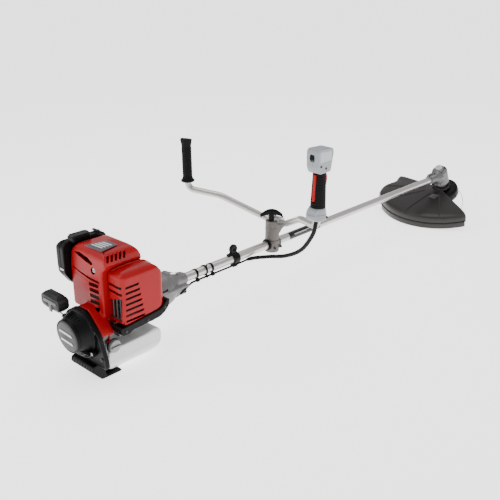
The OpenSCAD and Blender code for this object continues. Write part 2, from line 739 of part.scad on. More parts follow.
// ---------- cutting head ----------
module gear_case() color("silver") difference() {
    union() {
        at_nose() translate([gear_x, 0, 0]) {
            bar_along_x(tube_r + 5, -97, -12);
            bar_along_x(29, -38, 4);
            cone_along_x(tube_r + 5, 29, -56, -37);
            block([-94, -12, 0], [-58, -4, tube_r + 9]);
            block([-94, 4, 0], [-58, 12, tube_r + 9]);
        }
        on_output() {
            translate([0, 0, -32]) cylinder(r = 31, h = 66);
            translate([0, 0, -46]) cylinder(r = 17, h = 16);
            translate([0, 0, 30]) cylinder(r = neck_r, h = neck_s - 30);
        }
    }
    at_nose() translate([gear_x, 0, 0]) {
        bar_along_x(tube_r, -98, tube_len - gear_x);
        bar_along_x(11.01, -86, -54);
        bar_along_x(22, -55, 0);
        block([-98, -1, 0], [-60, 1, 40]);
    }
    on_output() {
        translate([0, 0, -28]) cylinder(r = 27.5, h = 58);
        translate([0, 0, -38]) cylinder(r = 7, h = 20);
        translate([0, 0, 29]) cylinder(r = 15.01, h = 13);
        translate([0, 0, 40]) cylinder(r = 8, h = 30);
    }
}

// a toothed cone about +Z with its apex at the origin
module bevel(teeth, cone, phase, back) {
    root_drop = tooth_ded / cos(cone);
    r_in = cone_in * sin(cone);
    r_out = cone_out * sin(cone);
    translate([0, 0, cone_in * cos(cone)])
        cylinder(r1 = r_in - root_drop, r2 = r_out - root_drop, h = (cone_out - cone_in) * cos(cone));
    translate([0, 0, cone_out * cos(cone) - 0.01]) cylinder(r = r_out - root_drop, h = back);
    for (i = [0 : teeth - 1]) rotate([0, 0, (i + phase) * 360 / teeth]) rotate([0, cone, 0])
        translate([-tooth_ded - 0.5, -tooth_t / 2, cone_in + 1])
            cube([tooth_ded + 0.5 + tooth_add, tooth_t, cone_out - cone_in - 1]);
}

module pinion() color("goldenrod") at_nose() translate([gear_x, 0, 0]) rotate([0, -90, 0]) difference() {
    bevel(pinion_teeth, pinion_cone, 0.5, 6);
    translate([0, 0, 20.9]) cylinder(r = shaft_d / 2, h = 20);
}

module output_shaft() color("goldenrod") on_output() {
    bevel(ring_teeth, ring_cone, 0, 4);
    translate([0, 0, 10]) cylinder(r = 6, h = head_s);
}

rim_from = -55;
rim_to = 105;
flap_to = 45;
// an arc of the guard's skirt, s measured down the guard's axis
module skirt(r_out, wall, s0, s1, from, to) {
    rotate([0, 0, from]) translate([0, 0, s0]) rotate_extrude(angle = to - from)
        translate([r_out - wall, 0]) square([wall, s1 - s0]);
}

module guard() color("#403c3a") difference() {
    union() {
        on_guard() {
            skirt(guard_r, guard_r - 24, plate_s, plate_s + 3, rim_from, rim_to);
            skirt(guard_r, 3, plate_s, rim_s - 24, rim_from, rim_to);
            translate([0, 0, plate_s - 5]) cylinder(r = 34, h = 8);
            for (a = [-20, 25, 70]) rotate([0, 0, a]) block([60, -1.5, plate_s + 2], [guard_r - 2, 1.5, plate_s + 8]);
        }
        on_output() translate([0, 0, neck_s - 10]) cylinder(r = 32, h = 8);
    }
    on_output() cylinder(r = neck_r + gap, h = 200);
}

module guard_flap() color("#38332f") on_guard() {
    skirt(guard_r - 3 - gap, 2.5, rim_s - 34, rim_s - 21, rim_from + 1, flap_to);
    skirt(guard_r, 5.6, rim_s - 22 + gap, rim_s, rim_from + 1, flap_to);
}

module head_body() color("#161616") on_output() difference() {
    union() {
        translate([0, 0, head_s]) cylinder(r = head_r - 8, h = 6);
        translate([0, 0, head_s + 6]) cylinder(r = head_r, h = 34);
        translate([0, 0, head_s - 4]) cylinder(r = 14, h = 5);
    }
    translate([0, 0, head_s + 10]) cylinder(r = head_r - 4, h = 31);
    translate([0, 0, head_s - 5]) cylinder(r = 6, h = 20);
    for (p = line_ends) rotate([0, 0, atan2(p[0][1], p[0][0])]) translate([head_r - 12, 0, head_s + 22])
        rotate([0, 90, 0]) cylinder(r = 8, h = 20);
}

module line_spool() color("orange") on_output() translate([0, 0, head_s + 14]) difference() {
    union() {
        cylinder(r = head_r - 6, h = 2);
        translate([0, 0, 18]) cylinder(r = head_r - 6, h = 2);
        // wound line
        cylinder(r = 38, h = 20);
    }
    translate([0, 0, -1]) cylinder(r = 10, h = 22);
}

module bump_knob() color("#1a1a1a") on_output() {
    translate([0, 0, head_s + 34 + gap]) cylinder(r = 34, h = 4);
    translate([0, 0, head_s + 38]) cylinder(r1 = 26, r2 = 18, h = 8);
}

// the two ends of the nylon line, swept along the points
line_r = 1.3;
line_sides = 8;
line_ends = [[[-27, -51], [20, -125], [130, -125]], [[27, 51], [75, 100], [135, 125]]];
module cutting_line() color("whitesmoke") on_output() translate([0, 0, head_s + 22])
    for (p = line_ends) swept(bowed(p), line_r, line_sides, [0, 0, 1]);

crankcase();
cylinder_block();  // cylinder
rocker_cover();
crankshaft();
connecting_rod();
piston();
flywheel();
fan_case();
recoil_cover();
starter_reel();
starter_rope();
starter_handle();
ignition_coil();
spark_plug();
plug_cap();
top_cover();
muffler_cover();
muffler();
heat_tray();
carburetor();
throttle_lever();
primer_bulb();
choke_lever();
air_cleaner_case();
filter_element();
air_cleaner_cover();
fuel_cap();
fuel_tank();
base_foot();
clutch_shoes();
clutch_drum();
clutch_housing();
bearings();
frame_screws();
main_tube();
drive_shaft();
shaft_bushes();
hanger();
cable_clips();
clamp_column();
swivel_head();
bar_cap();
cap_screws();
wing_knob();
handlebar();
left_grip();
throttle_housing();
throttle_trigger();
lock_lever();
stop_switch();
throttle_cable();
gear_case();
pinion();
output_shaft();
guard();
guard_flap();
head_body();
line_spool();
bump_knob();
cutting_line();
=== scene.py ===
"""Visual model of the brush cutter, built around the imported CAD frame.

Lengths are in millimetres in the machine's own frames, and place() turns them into metres.
"""
import json
import math

import bmesh
import bpy
from mathutils import Matrix, Vector


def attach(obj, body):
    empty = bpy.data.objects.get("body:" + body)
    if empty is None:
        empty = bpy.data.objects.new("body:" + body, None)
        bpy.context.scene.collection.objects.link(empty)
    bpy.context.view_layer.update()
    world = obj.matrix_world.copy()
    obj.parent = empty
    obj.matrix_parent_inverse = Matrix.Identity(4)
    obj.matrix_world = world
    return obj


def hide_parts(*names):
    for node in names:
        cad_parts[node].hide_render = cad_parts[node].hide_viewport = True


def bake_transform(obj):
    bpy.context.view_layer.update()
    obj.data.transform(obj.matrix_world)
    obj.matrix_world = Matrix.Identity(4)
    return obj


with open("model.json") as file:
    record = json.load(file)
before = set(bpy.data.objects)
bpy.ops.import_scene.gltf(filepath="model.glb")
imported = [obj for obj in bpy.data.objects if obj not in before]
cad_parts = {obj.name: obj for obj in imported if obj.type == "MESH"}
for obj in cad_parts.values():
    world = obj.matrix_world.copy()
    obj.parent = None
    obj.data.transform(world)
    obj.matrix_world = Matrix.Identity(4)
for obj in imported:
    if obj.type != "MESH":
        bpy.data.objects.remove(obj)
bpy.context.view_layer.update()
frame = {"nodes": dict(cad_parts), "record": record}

# ---------- frames of the machine, each in millimetres ----------
MOUNTS = {m["name"]: m for m in frame["record"]["mounts"]}
HANGER_EYE = Vector((196, 0, 30))
CRANK_TILT = math.radians(4.9)
HEAD_TILT = math.radians(30)
GUARD_TILT = math.radians(10)
GEAR_X = 1453
GUARD_X = 1440
TUBE_BORE = 13.1
BAR_BORE = 10.05
GRIP_BORE = 10.15
FOOT_Z = -160
MM = 0.001

nose_at = Vector(MOUNTS["hanger_eye"]["pos_m"]) - HANGER_EYE * MM
NOSE = Matrix.Translation(nose_at) @ Matrix.Scale(MM, 4)
CRANK = NOSE @ Matrix.Rotation(-CRANK_TILT, 4, "Y")
OUTPUT = NOSE @ Matrix.Translation((GEAR_X, 0, 0)) @ Matrix.Rotation(math.pi - HEAD_TILT, 4, "Y")
CRANK_IN_NOSE = NOSE.inverted() @ CRANK
OUTPUT_IN_NOSE = NOSE.inverted() @ OUTPUT
GUARD = NOSE @ Matrix.Translation((GUARD_X, 0, 0)) @ Matrix.Rotation(math.pi - GUARD_TILT, 4, "Y")

GRIP_FOOT = Vector((257, 255, 148))
GRIP_TOP = Vector((254, 257, 308))
grip_dir = (GRIP_TOP - GRIP_FOOT).normalized()


def grip_frame(side):
    """The frame of a grip: z up along it, x forward."""
    flip = Vector((1, side, 1))
    up = grip_dir * flip
    foot = (GRIP_FOOT + grip_dir * 24) * flip
    left = up.cross(Vector((1, 0, 0))).normalized()
    forward = left.cross(up)
    turn = Matrix((forward, left, up)).transposed().to_4x4()
    return NOSE @ Matrix.Translation(foot) @ turn


LEFT_GRIP = grip_frame(1)
THROTTLE = grip_frame(-1)


# ---------- mesh helpers ----------
def as_object(name, verts, faces):
    """A mesh object from lists, in the local frame."""
    mesh = bpy.data.meshes.new(name)
    mesh.from_pydata([tuple(v) for v in verts], [], [tuple(f) for f in faces])
    bm = bmesh.new()
    bm.from_mesh(mesh)
    bmesh.ops.recalc_face_normals(bm, faces=bm.faces)
    bm.to_mesh(mesh)
    bm.free()
    obj = bpy.data.objects.new(name, mesh)
    bpy.context.scene.collection.objects.link(obj)
    return obj


def loft(name, rings, closed=False):
    """A skin over rings of equal length; the ends are capped unless closed."""
    count = len(rings[0])
    verts = [v for ring in rings for v in ring]
    faces = []
    last = len(rings) if closed else len(rings) - 1
    for i in range(last):
        a, b = i * count, (i + 1) % len(rings) * count
        for j in range(count):
            k = (j + 1) % count
            faces.append((a + j, b + j, b + k, a + k))
    if not closed:
        faces.append(range(count))
        faces.append(range((len(rings) - 1) * count, len(rings) * count))
    return as_object(name, verts, faces)


def fillet(points, radius, steps=5):
    """The corners of a closed outline, rounded."""
    out = []
    for i, p in enumerate(points):
        p = Vector(p)
        before = Vector(points[i - 1]) - p
        after = Vector(points[(i + 1) % len(points)]) - p
        cut = min(radius, before.length * 0.45, after.length * 0.45)
        a, b = p + before.normalized() * cut, p + after.normalized() * cut
        for k in range(steps + 1):
            f = k / steps
            out.append(a * (1 - f) ** 2 + p * 2 * f * (1 - f) + b * f * f)
    return out


def prism(name, outline, axis, low, high):
    """An outline in the plane across the axis, extruded from low to high. x: (y, z), y: (x, z), z: (x, y)."""
    place = {"x": lambda p, t: (t, p[0], p[1]), "y": lambda p, t: (p[0], t, p[1]),
             "z": lambda p, t: (p[0], p[1], t)}
    put = place[axis]
    return loft(name, [[put(p, low) for p in outline], [put(p, high) for p in outline]])


def block(low, high, name="block"):
    (x0, y0, z0), (x1, y1, z1) = low, high
    return prism(name, [(x0, y0), (x1, y0), (x1, y1), (x0, y1)], "z", z0, z1)


def lathe(name, profile, sides=64, axis="x", closed=True):
    """A profile of (along, radius) turned about the axis.

    A closed profile is a ring, and an open one starts and ends on the axis.
    """
    rings = []
    for i in range(sides):
        a = 2 * math.pi * i / sides
        c, s = math.cos(a), math.sin(a)
        spots = {"x": [(t, r * c, r * s) for t, r in profile], "y": [(r * s, t, r * c) for t, r in profile],
                 "z": [(r * c, r * s, t) for t, r in profile]}
        rings.append(spots[axis])
    count = len(profile)
    verts = [v for ring in rings for v in ring]
    faces = []
    spans = count if closed else count - 1
    for i in range(sides):
        a, b = i * count, (i + 1) % sides * count
        for j in range(spans):
            k = (j + 1) % count
            faces.append((a + j, b + j, b + k, a + k))
    obj = as_object(name, verts, faces)
    bm = bmesh.new()
    bm.from_mesh(obj.data)
    bmesh.ops.remove_doubles(bm, verts=bm.verts, dist=0.001)
    bmesh.ops.dissolve_degenerate(bm, edges=bm.edges, dist=0.0005)
    bmesh.ops.recalc_face_normals(bm, faces=bm.faces)
    bm.to_mesh(obj.data)
    bm.free()
    return obj


def rod(a, b, r, sides=32, r_end=None, name="rod"):
    """A round bar or cone from a to b."""
    a, b = Vector(a), Vector(b)
    turn = Vector((0, 0, 1)).rotation_difference(b - a).to_matrix()
    rings = []
    for at, radius in ((a, r), (b, r if r_end is None else r_end)):
        ring = []
        for i in range(sides):
            t = 2 * math.pi * i / sides
            ring.append(at + turn @ Vector((radius * math.cos(t), radius * math.sin(t), 0)))
        rings.append(ring)
    return loft(name, rings)


def smooth_path(points, steps=8):
    """A Catmull-Rom curve through the points."""
    pts = [Vector(p) for p in points]
    ends = [pts[0] * 2 - pts[1]] + pts + [pts[-1] * 2 - pts[-2]]
    out = []
    for i in range(1, len(ends) - 2):
        p0, p1, p2, p3 = ends[i - 1:i + 3]
        for k in range(steps):
            t = k / steps
            out.append(0.5 * (2 * p1 + (p2 - p0) * t + (2 * p0 - 5 * p1 + 4 * p2 - p3) * t ** 2
                              + (3 * p1 - p0 - 3 * p2 + p3) * t ** 3))
    out.append(pts[-1])
    return out


def rounded_path(points, bends, steps=8):
    """Straight runs joined by curves; each bend starts that far from its corner."""
    pts = [Vector(p) for p in points]
    out = [pts[0]]
    for i in range(1, len(pts) - 1):
        before, after = pts[i - 1] - pts[i], pts[i + 1] - pts[i]
        half = before.angle(after) / 2
        cut = bends[i] / math.tan(half) if bends[i] else 0
        a, b = pts[i] + before.normalized() * cut, pts[i] + after.normalized() * cut
        for k in range(steps + 1):
            f = k / steps
            out.append(a * (1 - f) ** 2 + pts[i] * 2 * f * (1 - f) + b * f * f)
    out.append(pts[-1])
    clean = [out[0]]
    for p in out[1:]:
        if (p - clean[-1]).length > 0.05:
            clean.append(p)
    return clean


def spaced(points, step):
    """The same line with a point every step."""
    out, rest = [Vector(points[0])], step
    for a, b in zip(points, points[1:]):
        a, b = Vector(a), Vector(b)
        length = (b - a).length
        at = rest
        while at < length:
            out.append(a + (b - a) * (at / length))
            at += step
        rest = at - length
    out.append(Vector(points[-1]))
    return out


def sweep(name, points, radius, sides=24):
    """A round bar along the points. radius is a number or a function of the distance along."""
    pts = [Vector(p) for p in points]
    side, along, rings = None, 0.0, []
    for i, p in enumerate(pts):
        d = (pts[min(i + 1, len(pts) - 1)] - pts[max(i - 1, 0)]).normalized()
        if side is None:
            side = d.orthogonal().normalized()
        else:
            side = (side - d * side.dot(d)).normalized()
            along += (p - pts[i - 1]).length
        up = d.cross(side)
        r = radius(along) if callable(radius) else radius
        ring = []
        for j in range(sides):
            t = 2 * math.pi * j / sides
            ring.append(p + side * r * math.cos(t) + up * r * math.sin(t))
        rings.append(ring)
    return loft(name, rings)


def move(obj, offset):
    """Shifts the mesh and gives the object back."""
    obj.data.transform(Matrix.Translation(offset))
    return obj


def spin(obj, degrees, axis="Z"):
    """Turns the mesh about an axis of its frame and gives the object back."""
    obj.data.transform(Matrix.Rotation(math.radians(degrees), 4, axis))
    return obj


def on_circle(radius, degrees):
    """A point on a circle round the origin."""
    angle = math.radians(degrees)
    return radius * math.cos(angle), radius * math.sin(angle)


def remove(obj):
    """Deletes the object, and its mesh when nothing else uses it."""
    mesh = obj.data
    bpy.data.objects.remove(obj)
    if mesh.users == 0:
        bpy.data.meshes.remove(mesh)


def bake(obj):
    """Applies the object's modifiers."""
    bpy.context.view_layer.update()
    graph = bpy.context.evaluated_depsgraph_get()
    old = obj.data
    obj.data = bpy.data.meshes.new_from_object(obj.evaluated_get(graph))
    obj.modifiers.clear()
    bpy.data.meshes.remove(old)
    return obj


def join(*parts):
    """Several solids in one object, with no boolean."""
    first = parts[0]
    bm = bmesh.new()
    for part in parts:
        bm.from_mesh(part.data)
    bm.to_mesh(first.data)
    bm.free()
    for part in parts[1:]:
        remove(part)
    return first


def carve(obj, tools, operation="DIFFERENCE"):
    """Boolean of the object with each tool, which is used up."""
    for tool in tools:
        step = obj.modifiers.new("carve", "BOOLEAN")
        step.operation = operation
        step.solver = "EXACT"
        step.object = tool
        bake(obj)
        remove(tool)
    return obj


def mould(obj, voxel, rounds):
    """Rounds every edge like a moulding: voxels, then smoothing."""
    step = obj.modifiers.new("voxels", "REMESH")
    step.mode = "VOXEL"
    step.voxel_size = voxel
    step.use_smooth_shade = True
    relax = obj.modifiers.new("relax", "SMOOTH")
    relax.factor = 0.5
    relax.iterations = rounds
    return bake(obj)


def bolt(face, foot, radius, socket, depth, name="bolt", sides=32, socket_sides=6):
    """A screw head from its face to its foot, with a socket sunk into the face."""
    face, foot = Vector(face), Vector(foot)
    way = (foot - face).normalized()
    tool = rod(face + way * depth, face - way * 2, socket, sides=socket_sides)
    return carve(rod(foot, face, radius, sides=sides, name=name), [tool])


def place(obj, matrix, body, material, angle=32, bevel=0.0, segments=2, node=None, slot=None, name=None):
    """Moves the finished mesh into the row frame, shades it and makes it ride.

    node is the CAD node that it stands for. slot, the record's material slot, is not used.
    """
    obj.data.transform(matrix)
    if bevel:
        step = obj.modifiers.new("edges", "BEVEL")
        step.width = bevel * MM
        step.segments = segments
        step.limit_method = "ANGLE"
        step.angle_limit = math.radians(38)
        step.use_clamp_overlap = True
        bake(obj)
    mesh = obj.data
    mesh.shade_smooth()
    mesh.set_sharp_from_angle(angle=math.radians(angle))
    mesh.materials.clear()
    mesh.materials.append(material)
    if body:
        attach(obj, body)
    if node:
        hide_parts(node)
    if name:
        obj.name = name
    return obj


# ---------- materials ----------
def material(name, colour, rough, metal=0.0, spread=0.10, grain=220.0, bump=0.25, depth=0.0004, wear=0.0,
             stretch=(1, 1, 1), coat=0.0, soft=0.0, clear=0.0, specular=0.5, glow=0.0):
    """A procedural finish: colour variation, roughness variation, fine grain, and paler worn edges."""
    mat = bpy.data.materials.new(name)
    mat.use_nodes = True
    tree = mat.node_tree
    nodes, links = tree.nodes, tree.links
    shader = nodes["Principled BSDF"]
    constants = {
        "Metallic": metal, "Specular IOR Level": specular, "Transmission Weight": clear,
        "Coat Weight": coat, "Coat Roughness": 0.08,
        "Subsurface Weight": soft, "Subsurface Radius": (0.02, 0.02, 0.02),
        "Emission Color": (1, 1, 1, 1), "Emission Strength": glow,
    }
    for socket, value in constants.items():
        shader.inputs[socket].default_value = value
    where = nodes.new("ShaderNodeTexCoord")
    scale = nodes.new("ShaderNodeMapping")
    scale.inputs["Scale"].default_value = stretch
    links.new(where.outputs["Object"], scale.inputs["Vector"])

    def noise(size, detail):
        node = nodes.new("ShaderNodeTexNoise")
        node.inputs["Scale"].default_value = size
        node.inputs["Detail"].default_value = detail
        links.new(scale.outputs["Vector"], node.inputs["Vector"])
        return node.outputs["Fac"]

    def ramp(source, low, high, dark, light):
        node = nodes.new("ShaderNodeMapRange")
        for socket, value in (("From Min", low), ("From Max", high), ("To Min", dark), ("To Max", light)):
            node.inputs[socket].default_value = value
        links.new(source, node.inputs["Value"])
        return node.outputs["Result"]

    def mix(factor, a, b):
        node = nodes.new("ShaderNodeMix")
        node.data_type = "RGBA"
        links.new(factor, node.inputs["Factor"])
        for socket, value in ((node.inputs["A"], a), (node.inputs["B"], b)):
            if isinstance(value, tuple):
                socket.default_value = (*value, 1)
            else:
                links.new(value, socket)
        return node.outputs["Result"]

    broad, fine = noise(14.0, 3.0), noise(grain, 4.0)
    dark = tuple(c * (1 - spread) for c in colour)
    light = tuple(min(1.0, c * (1 + spread)) for c in colour)
    tint = mix(ramp(broad, 0.3, 0.7, 0, 1), dark, light)
    if wear:
        edges = nodes.new("ShaderNodeNewGeometry").outputs["Pointiness"]
        worn = ramp(edges, 0.53, 0.62, 0, wear)
        tint = mix(worn, tint, tuple(min(1.0, c * 1.5 + 0.05) for c in colour))
    links.new(tint, shader.inputs["Base Color"])
    links.new(ramp(fine, 0.2, 0.8, rough * 0.85, min(1.0, rough * 1.15)), shader.inputs["Roughness"])
    relief = nodes.new("ShaderNodeBump")
    relief.inputs["Strength"].default_value = bump
    relief.inputs["Distance"].default_value = depth
    links.new(fine, relief.inputs["Height"])
    links.new(relief.outputs["Normal"], shader.inputs["Normal"])
    return mat


RED = material("red_gloss_plastic", (0.30, 0.0015, 0.004), 0.32, spread=0.05, grain=90, bump=0.05,
               wear=0.08, specular=0.2)
RED_SATIN = material("red_satin_plastic", (0.34, 0.003, 0.004), 0.38, specular=0.2, spread=0.08,
                     grain=500, bump=0.2, wear=0.2)
BLACK = material("black_moulded_plastic", (0.0022, 0.0022, 0.0025), 0.42, specular=0.12, spread=0.2,
                 grain=900, bump=0.35, wear=0.25)
BLACK_SHINY = material("black_glossy_plastic", (0.002, 0.002, 0.0022), 0.28, specular=0.16, spread=0.2,
                       grain=600, bump=0.12, wear=0.2)
CHARCOAL = material("charcoal_plastic", (0.007, 0.007, 0.0075), 0.4, specular=0.2, spread=0.12,
                    grain=700, bump=0.3, wear=0.2)
RUBBER = material("grip_rubber", (0.003, 0.003, 0.003), 0.66, specular=0.12, spread=0.25, grain=1300,
                  bump=0.6, depth=0.0006, wear=0.12)
TANK = material("tank_plastic", (0.70, 0.71, 0.70), 0.3, spread=0.03, grain=300, bump=0.12,
                soft=0.35, coat=0.2)
GREY_CAP = material("cap_plastic", (0.26, 0.27, 0.27), 0.32, spread=0.06, grain=500, bump=0.2, wear=0.3)
THROTTLE_GREY = material("throttle_plastic", (0.26, 0.28, 0.30), 0.36, spread=0.05, grain=700,
                         bump=0.25, wear=0.3)
PALE_GREY = material("pale_panel_plastic", (0.42, 0.44, 0.46), 0.32, spread=0.04,
                     grain=700, bump=0.2, wear=0.2)
GUARD_PLASTIC = material("guard_plastic", (0.014, 0.0115, 0.0105), 0.36, specular=0.3, spread=0.12,
                         grain=420, bump=0.22, wear=0.3)
# This dark plastic is the cutter holder's own colour. On the guard rail it also acts as painted shade of the
# groove at the joint between cover and flap.
GUARD_DARK = material("guard_dark_plastic_and_joint_shade", (0.004, 0.0033, 0.003), 0.4, specular=0.2, spread=0.15,
                      grain=420, bump=0.3, wear=0.3)
TUBE = material("drawn_aluminium", (0.50, 0.475, 0.455), 0.3, metal=0.9, spread=0.06, grain=260, bump=0.12,
                stretch=(0.02, 1, 1), wear=0.2)
BAR = material("handlebar_aluminium", (0.48, 0.465, 0.45), 0.34, metal=0.85, spread=0.05,
               grain=420, bump=0.12)
CAST = material("cast_aluminium", (0.15, 0.147, 0.146), 0.45, metal=0.5, spread=0.12,
                grain=650, bump=0.7, wear=0.4)
BRACKET = material("bracket_casting", (0.105, 0.094, 0.086), 0.5, metal=0.5, spread=0.12,
                   grain=800, bump=0.7, wear=0.5)
STEEL = material("machined_steel", (0.46, 0.46, 0.48), 0.28, metal=1.0, spread=0.1, grain=500,
                 bump=0.25, wear=0.3)
IRON = material("heat_darkened_iron", (0.012, 0.011, 0.011), 0.55, metal=0.3, spread=0.3,
                grain=300, bump=0.8, wear=0.5)
SCREW = material("blackened_screw", (0.03, 0.03, 0.032), 0.36, metal=0.8, spread=0.2,
                 grain=900, bump=0.3, wear=0.6)
EMBLEM = material("emblem_plate", (0.014, 0.013, 0.0135), 0.4, metal=0.0, specular=0.25, spread=0.05,
                  grain=300, bump=0.08, wear=0.4)
LABEL = material("grey_label", (0.075, 0.068, 0.08), 0.36, metal=0.1, spread=0.06, grain=400, bump=0.06)
LABEL_DARK = material("black_label", (0.004, 0.004, 0.004), 0.32, specular=0.3, spread=0.1,
                      grain=400, bump=0.05)
LABEL_PALE = material("pale_print", (0.72, 0.72, 0.72), 0.35, spread=0.04, grain=400, bump=0.05)
BRASS = material("brass", (0.62, 0.44, 0.18), 0.32, metal=1.0, spread=0.1, grain=500, bump=0.2, wear=0.3)
FELT = material("filter_felt", (0.42, 0.36, 0.24), 0.95, spread=0.3, grain=900, bump=1.0, depth=0.001)
NYLON = material("nylon_line", (0.75, 0.74, 0.70), 0.3, spread=0.05, grain=500, bump=0.1, soft=0.2)
ROPE = material("braided_rope", (0.10, 0.10, 0.10), 0.85, spread=0.5, grain=1500, bump=1.0, depth=0.0008)
ORANGE = material("orange_plastic", (0.78, 0.20, 0.02), 0.38, spread=0.08, grain=500, bump=0.2, wear=0.2)
PRIMER_RUBBER = material("primer_rubber", (0.55, 0.53, 0.50), 0.25, spread=0.05, grain=300,
                         bump=0.1, clear=0.35)

# ---------- camera, floor and light ----------
HEADING = math.radians(42.07)
PITCH = math.radians(21.8)
ROLL = math.radians(0.75)
LENS = 50.8
SENSOR = 36
CAMERA_FROM_NOSE = Vector((-1.2011, -1.3280, 0.7980))
FLOOR_HALF = 80
WHITE = (1.0, 1.0, 1.0, 1)

camera_data = bpy.data.cameras.new("camera")
camera_data.lens = LENS
camera_data.sensor_width = SENSOR
camera = bpy.data.objects.new("camera", camera_data)
bpy.context.scene.collection.objects.link(camera)
look = Vector((math.cos(PITCH) * math.cos(HEADING), math.cos(PITCH) * math.sin(HEADING), -math.sin(PITCH)))
right = look.cross(Vector((0, 0, 1))).normalized()
up = right.cross(look)
across = right * math.cos(ROLL) + up * math.sin(ROLL)
above = up * math.cos(ROLL) - right * math.sin(ROLL)
camera.matrix_world = (Matrix.Translation(nose_at + CAMERA_FROM_NOSE)
                       @ Matrix((across, above, -look)).transposed().to_4x4())
bpy.context.scene.camera = camera

world = bpy.data.worlds.new("studio")
bpy.context.scene.world = world
world.use_nodes = True
background = world.node_tree.nodes["Background"]
background.inputs["Color"].default_value = WHITE
background.inputs["Strength"].default_value = 0.7


def lamp(name, at, aim_at, size, power):
    """A soft rectangular lamp, in metres and watts."""
    data = bpy.data.lights.new(name, "AREA")
    data.shape = "RECTANGLE"
    data.size, data.size_y = size
    data.energy = power
    obj = bpy.data.objects.new(name, data)
    bpy.context.scene.collection.objects.link(obj)
    obj.location = at
    obj.rotation_euler = (Vector(aim_at) - Vector(at)).to_track_quat("-Z", "Y").to_euler()
    return obj


lamp("overhead", (0.0, 0.3, 2.6), (0.0, 0.0, 0.1), (3.0, 1.6), 38)
lamp("left_rear", (-2.4, 1.2, 1.6), (-0.4, 0.0, 0.1), (1.2, 1.0), 18)
lamp("right_fill", (-0.6, -2.8, 1.2), (-0.2, 0.0, 0.1), (1.6, 1.0), 9)

corners = [(FLOOR_HALF * x, FLOOR_HALF * y, 0) for x, y in ((-1, -1), (1, -1), (1, 1), (-1, 1))]
floor = as_object("floor", corners, [(0, 1, 2, 3)])
floor.data.materials.append(material("pale_floor", (0.93, 0.93, 0.93), 0.85, spread=0.01, grain=60,
                                     bump=0.02, glow=1.8))

# ---------- engine covers ----------
COVER_WALL = 2.4
COVER_VOXEL = 2.4
CAP_X = -288
CAP_Z = -74
COVER_SLOTS = 5
SLOT_PITCH = 15.4
REAR_CUT = (-312, -296)
EXHAUST_CUT = (-294, -278)


def shell(obj, wall):
    """A closed form hollowed to a wall of that thickness: a shrunken, smoothed copy is cut out of it."""
    core = bpy.data.objects.new("core", obj.data.copy())
    bpy.context.scene.collection.objects.link(core)
    step = core.modifiers.new("shrink", "DISPLACE")
    step.strength = -wall
    step.mid_level = 0
    mould(core, COVER_VOXEL, 1)
    return carve(obj, [core])


def strip(outline, x_low, x_high):
    """A cutter for a slot in a rear face, drawn in (y, z)."""
    return prism("slot", outline, "x", x_low, x_high)


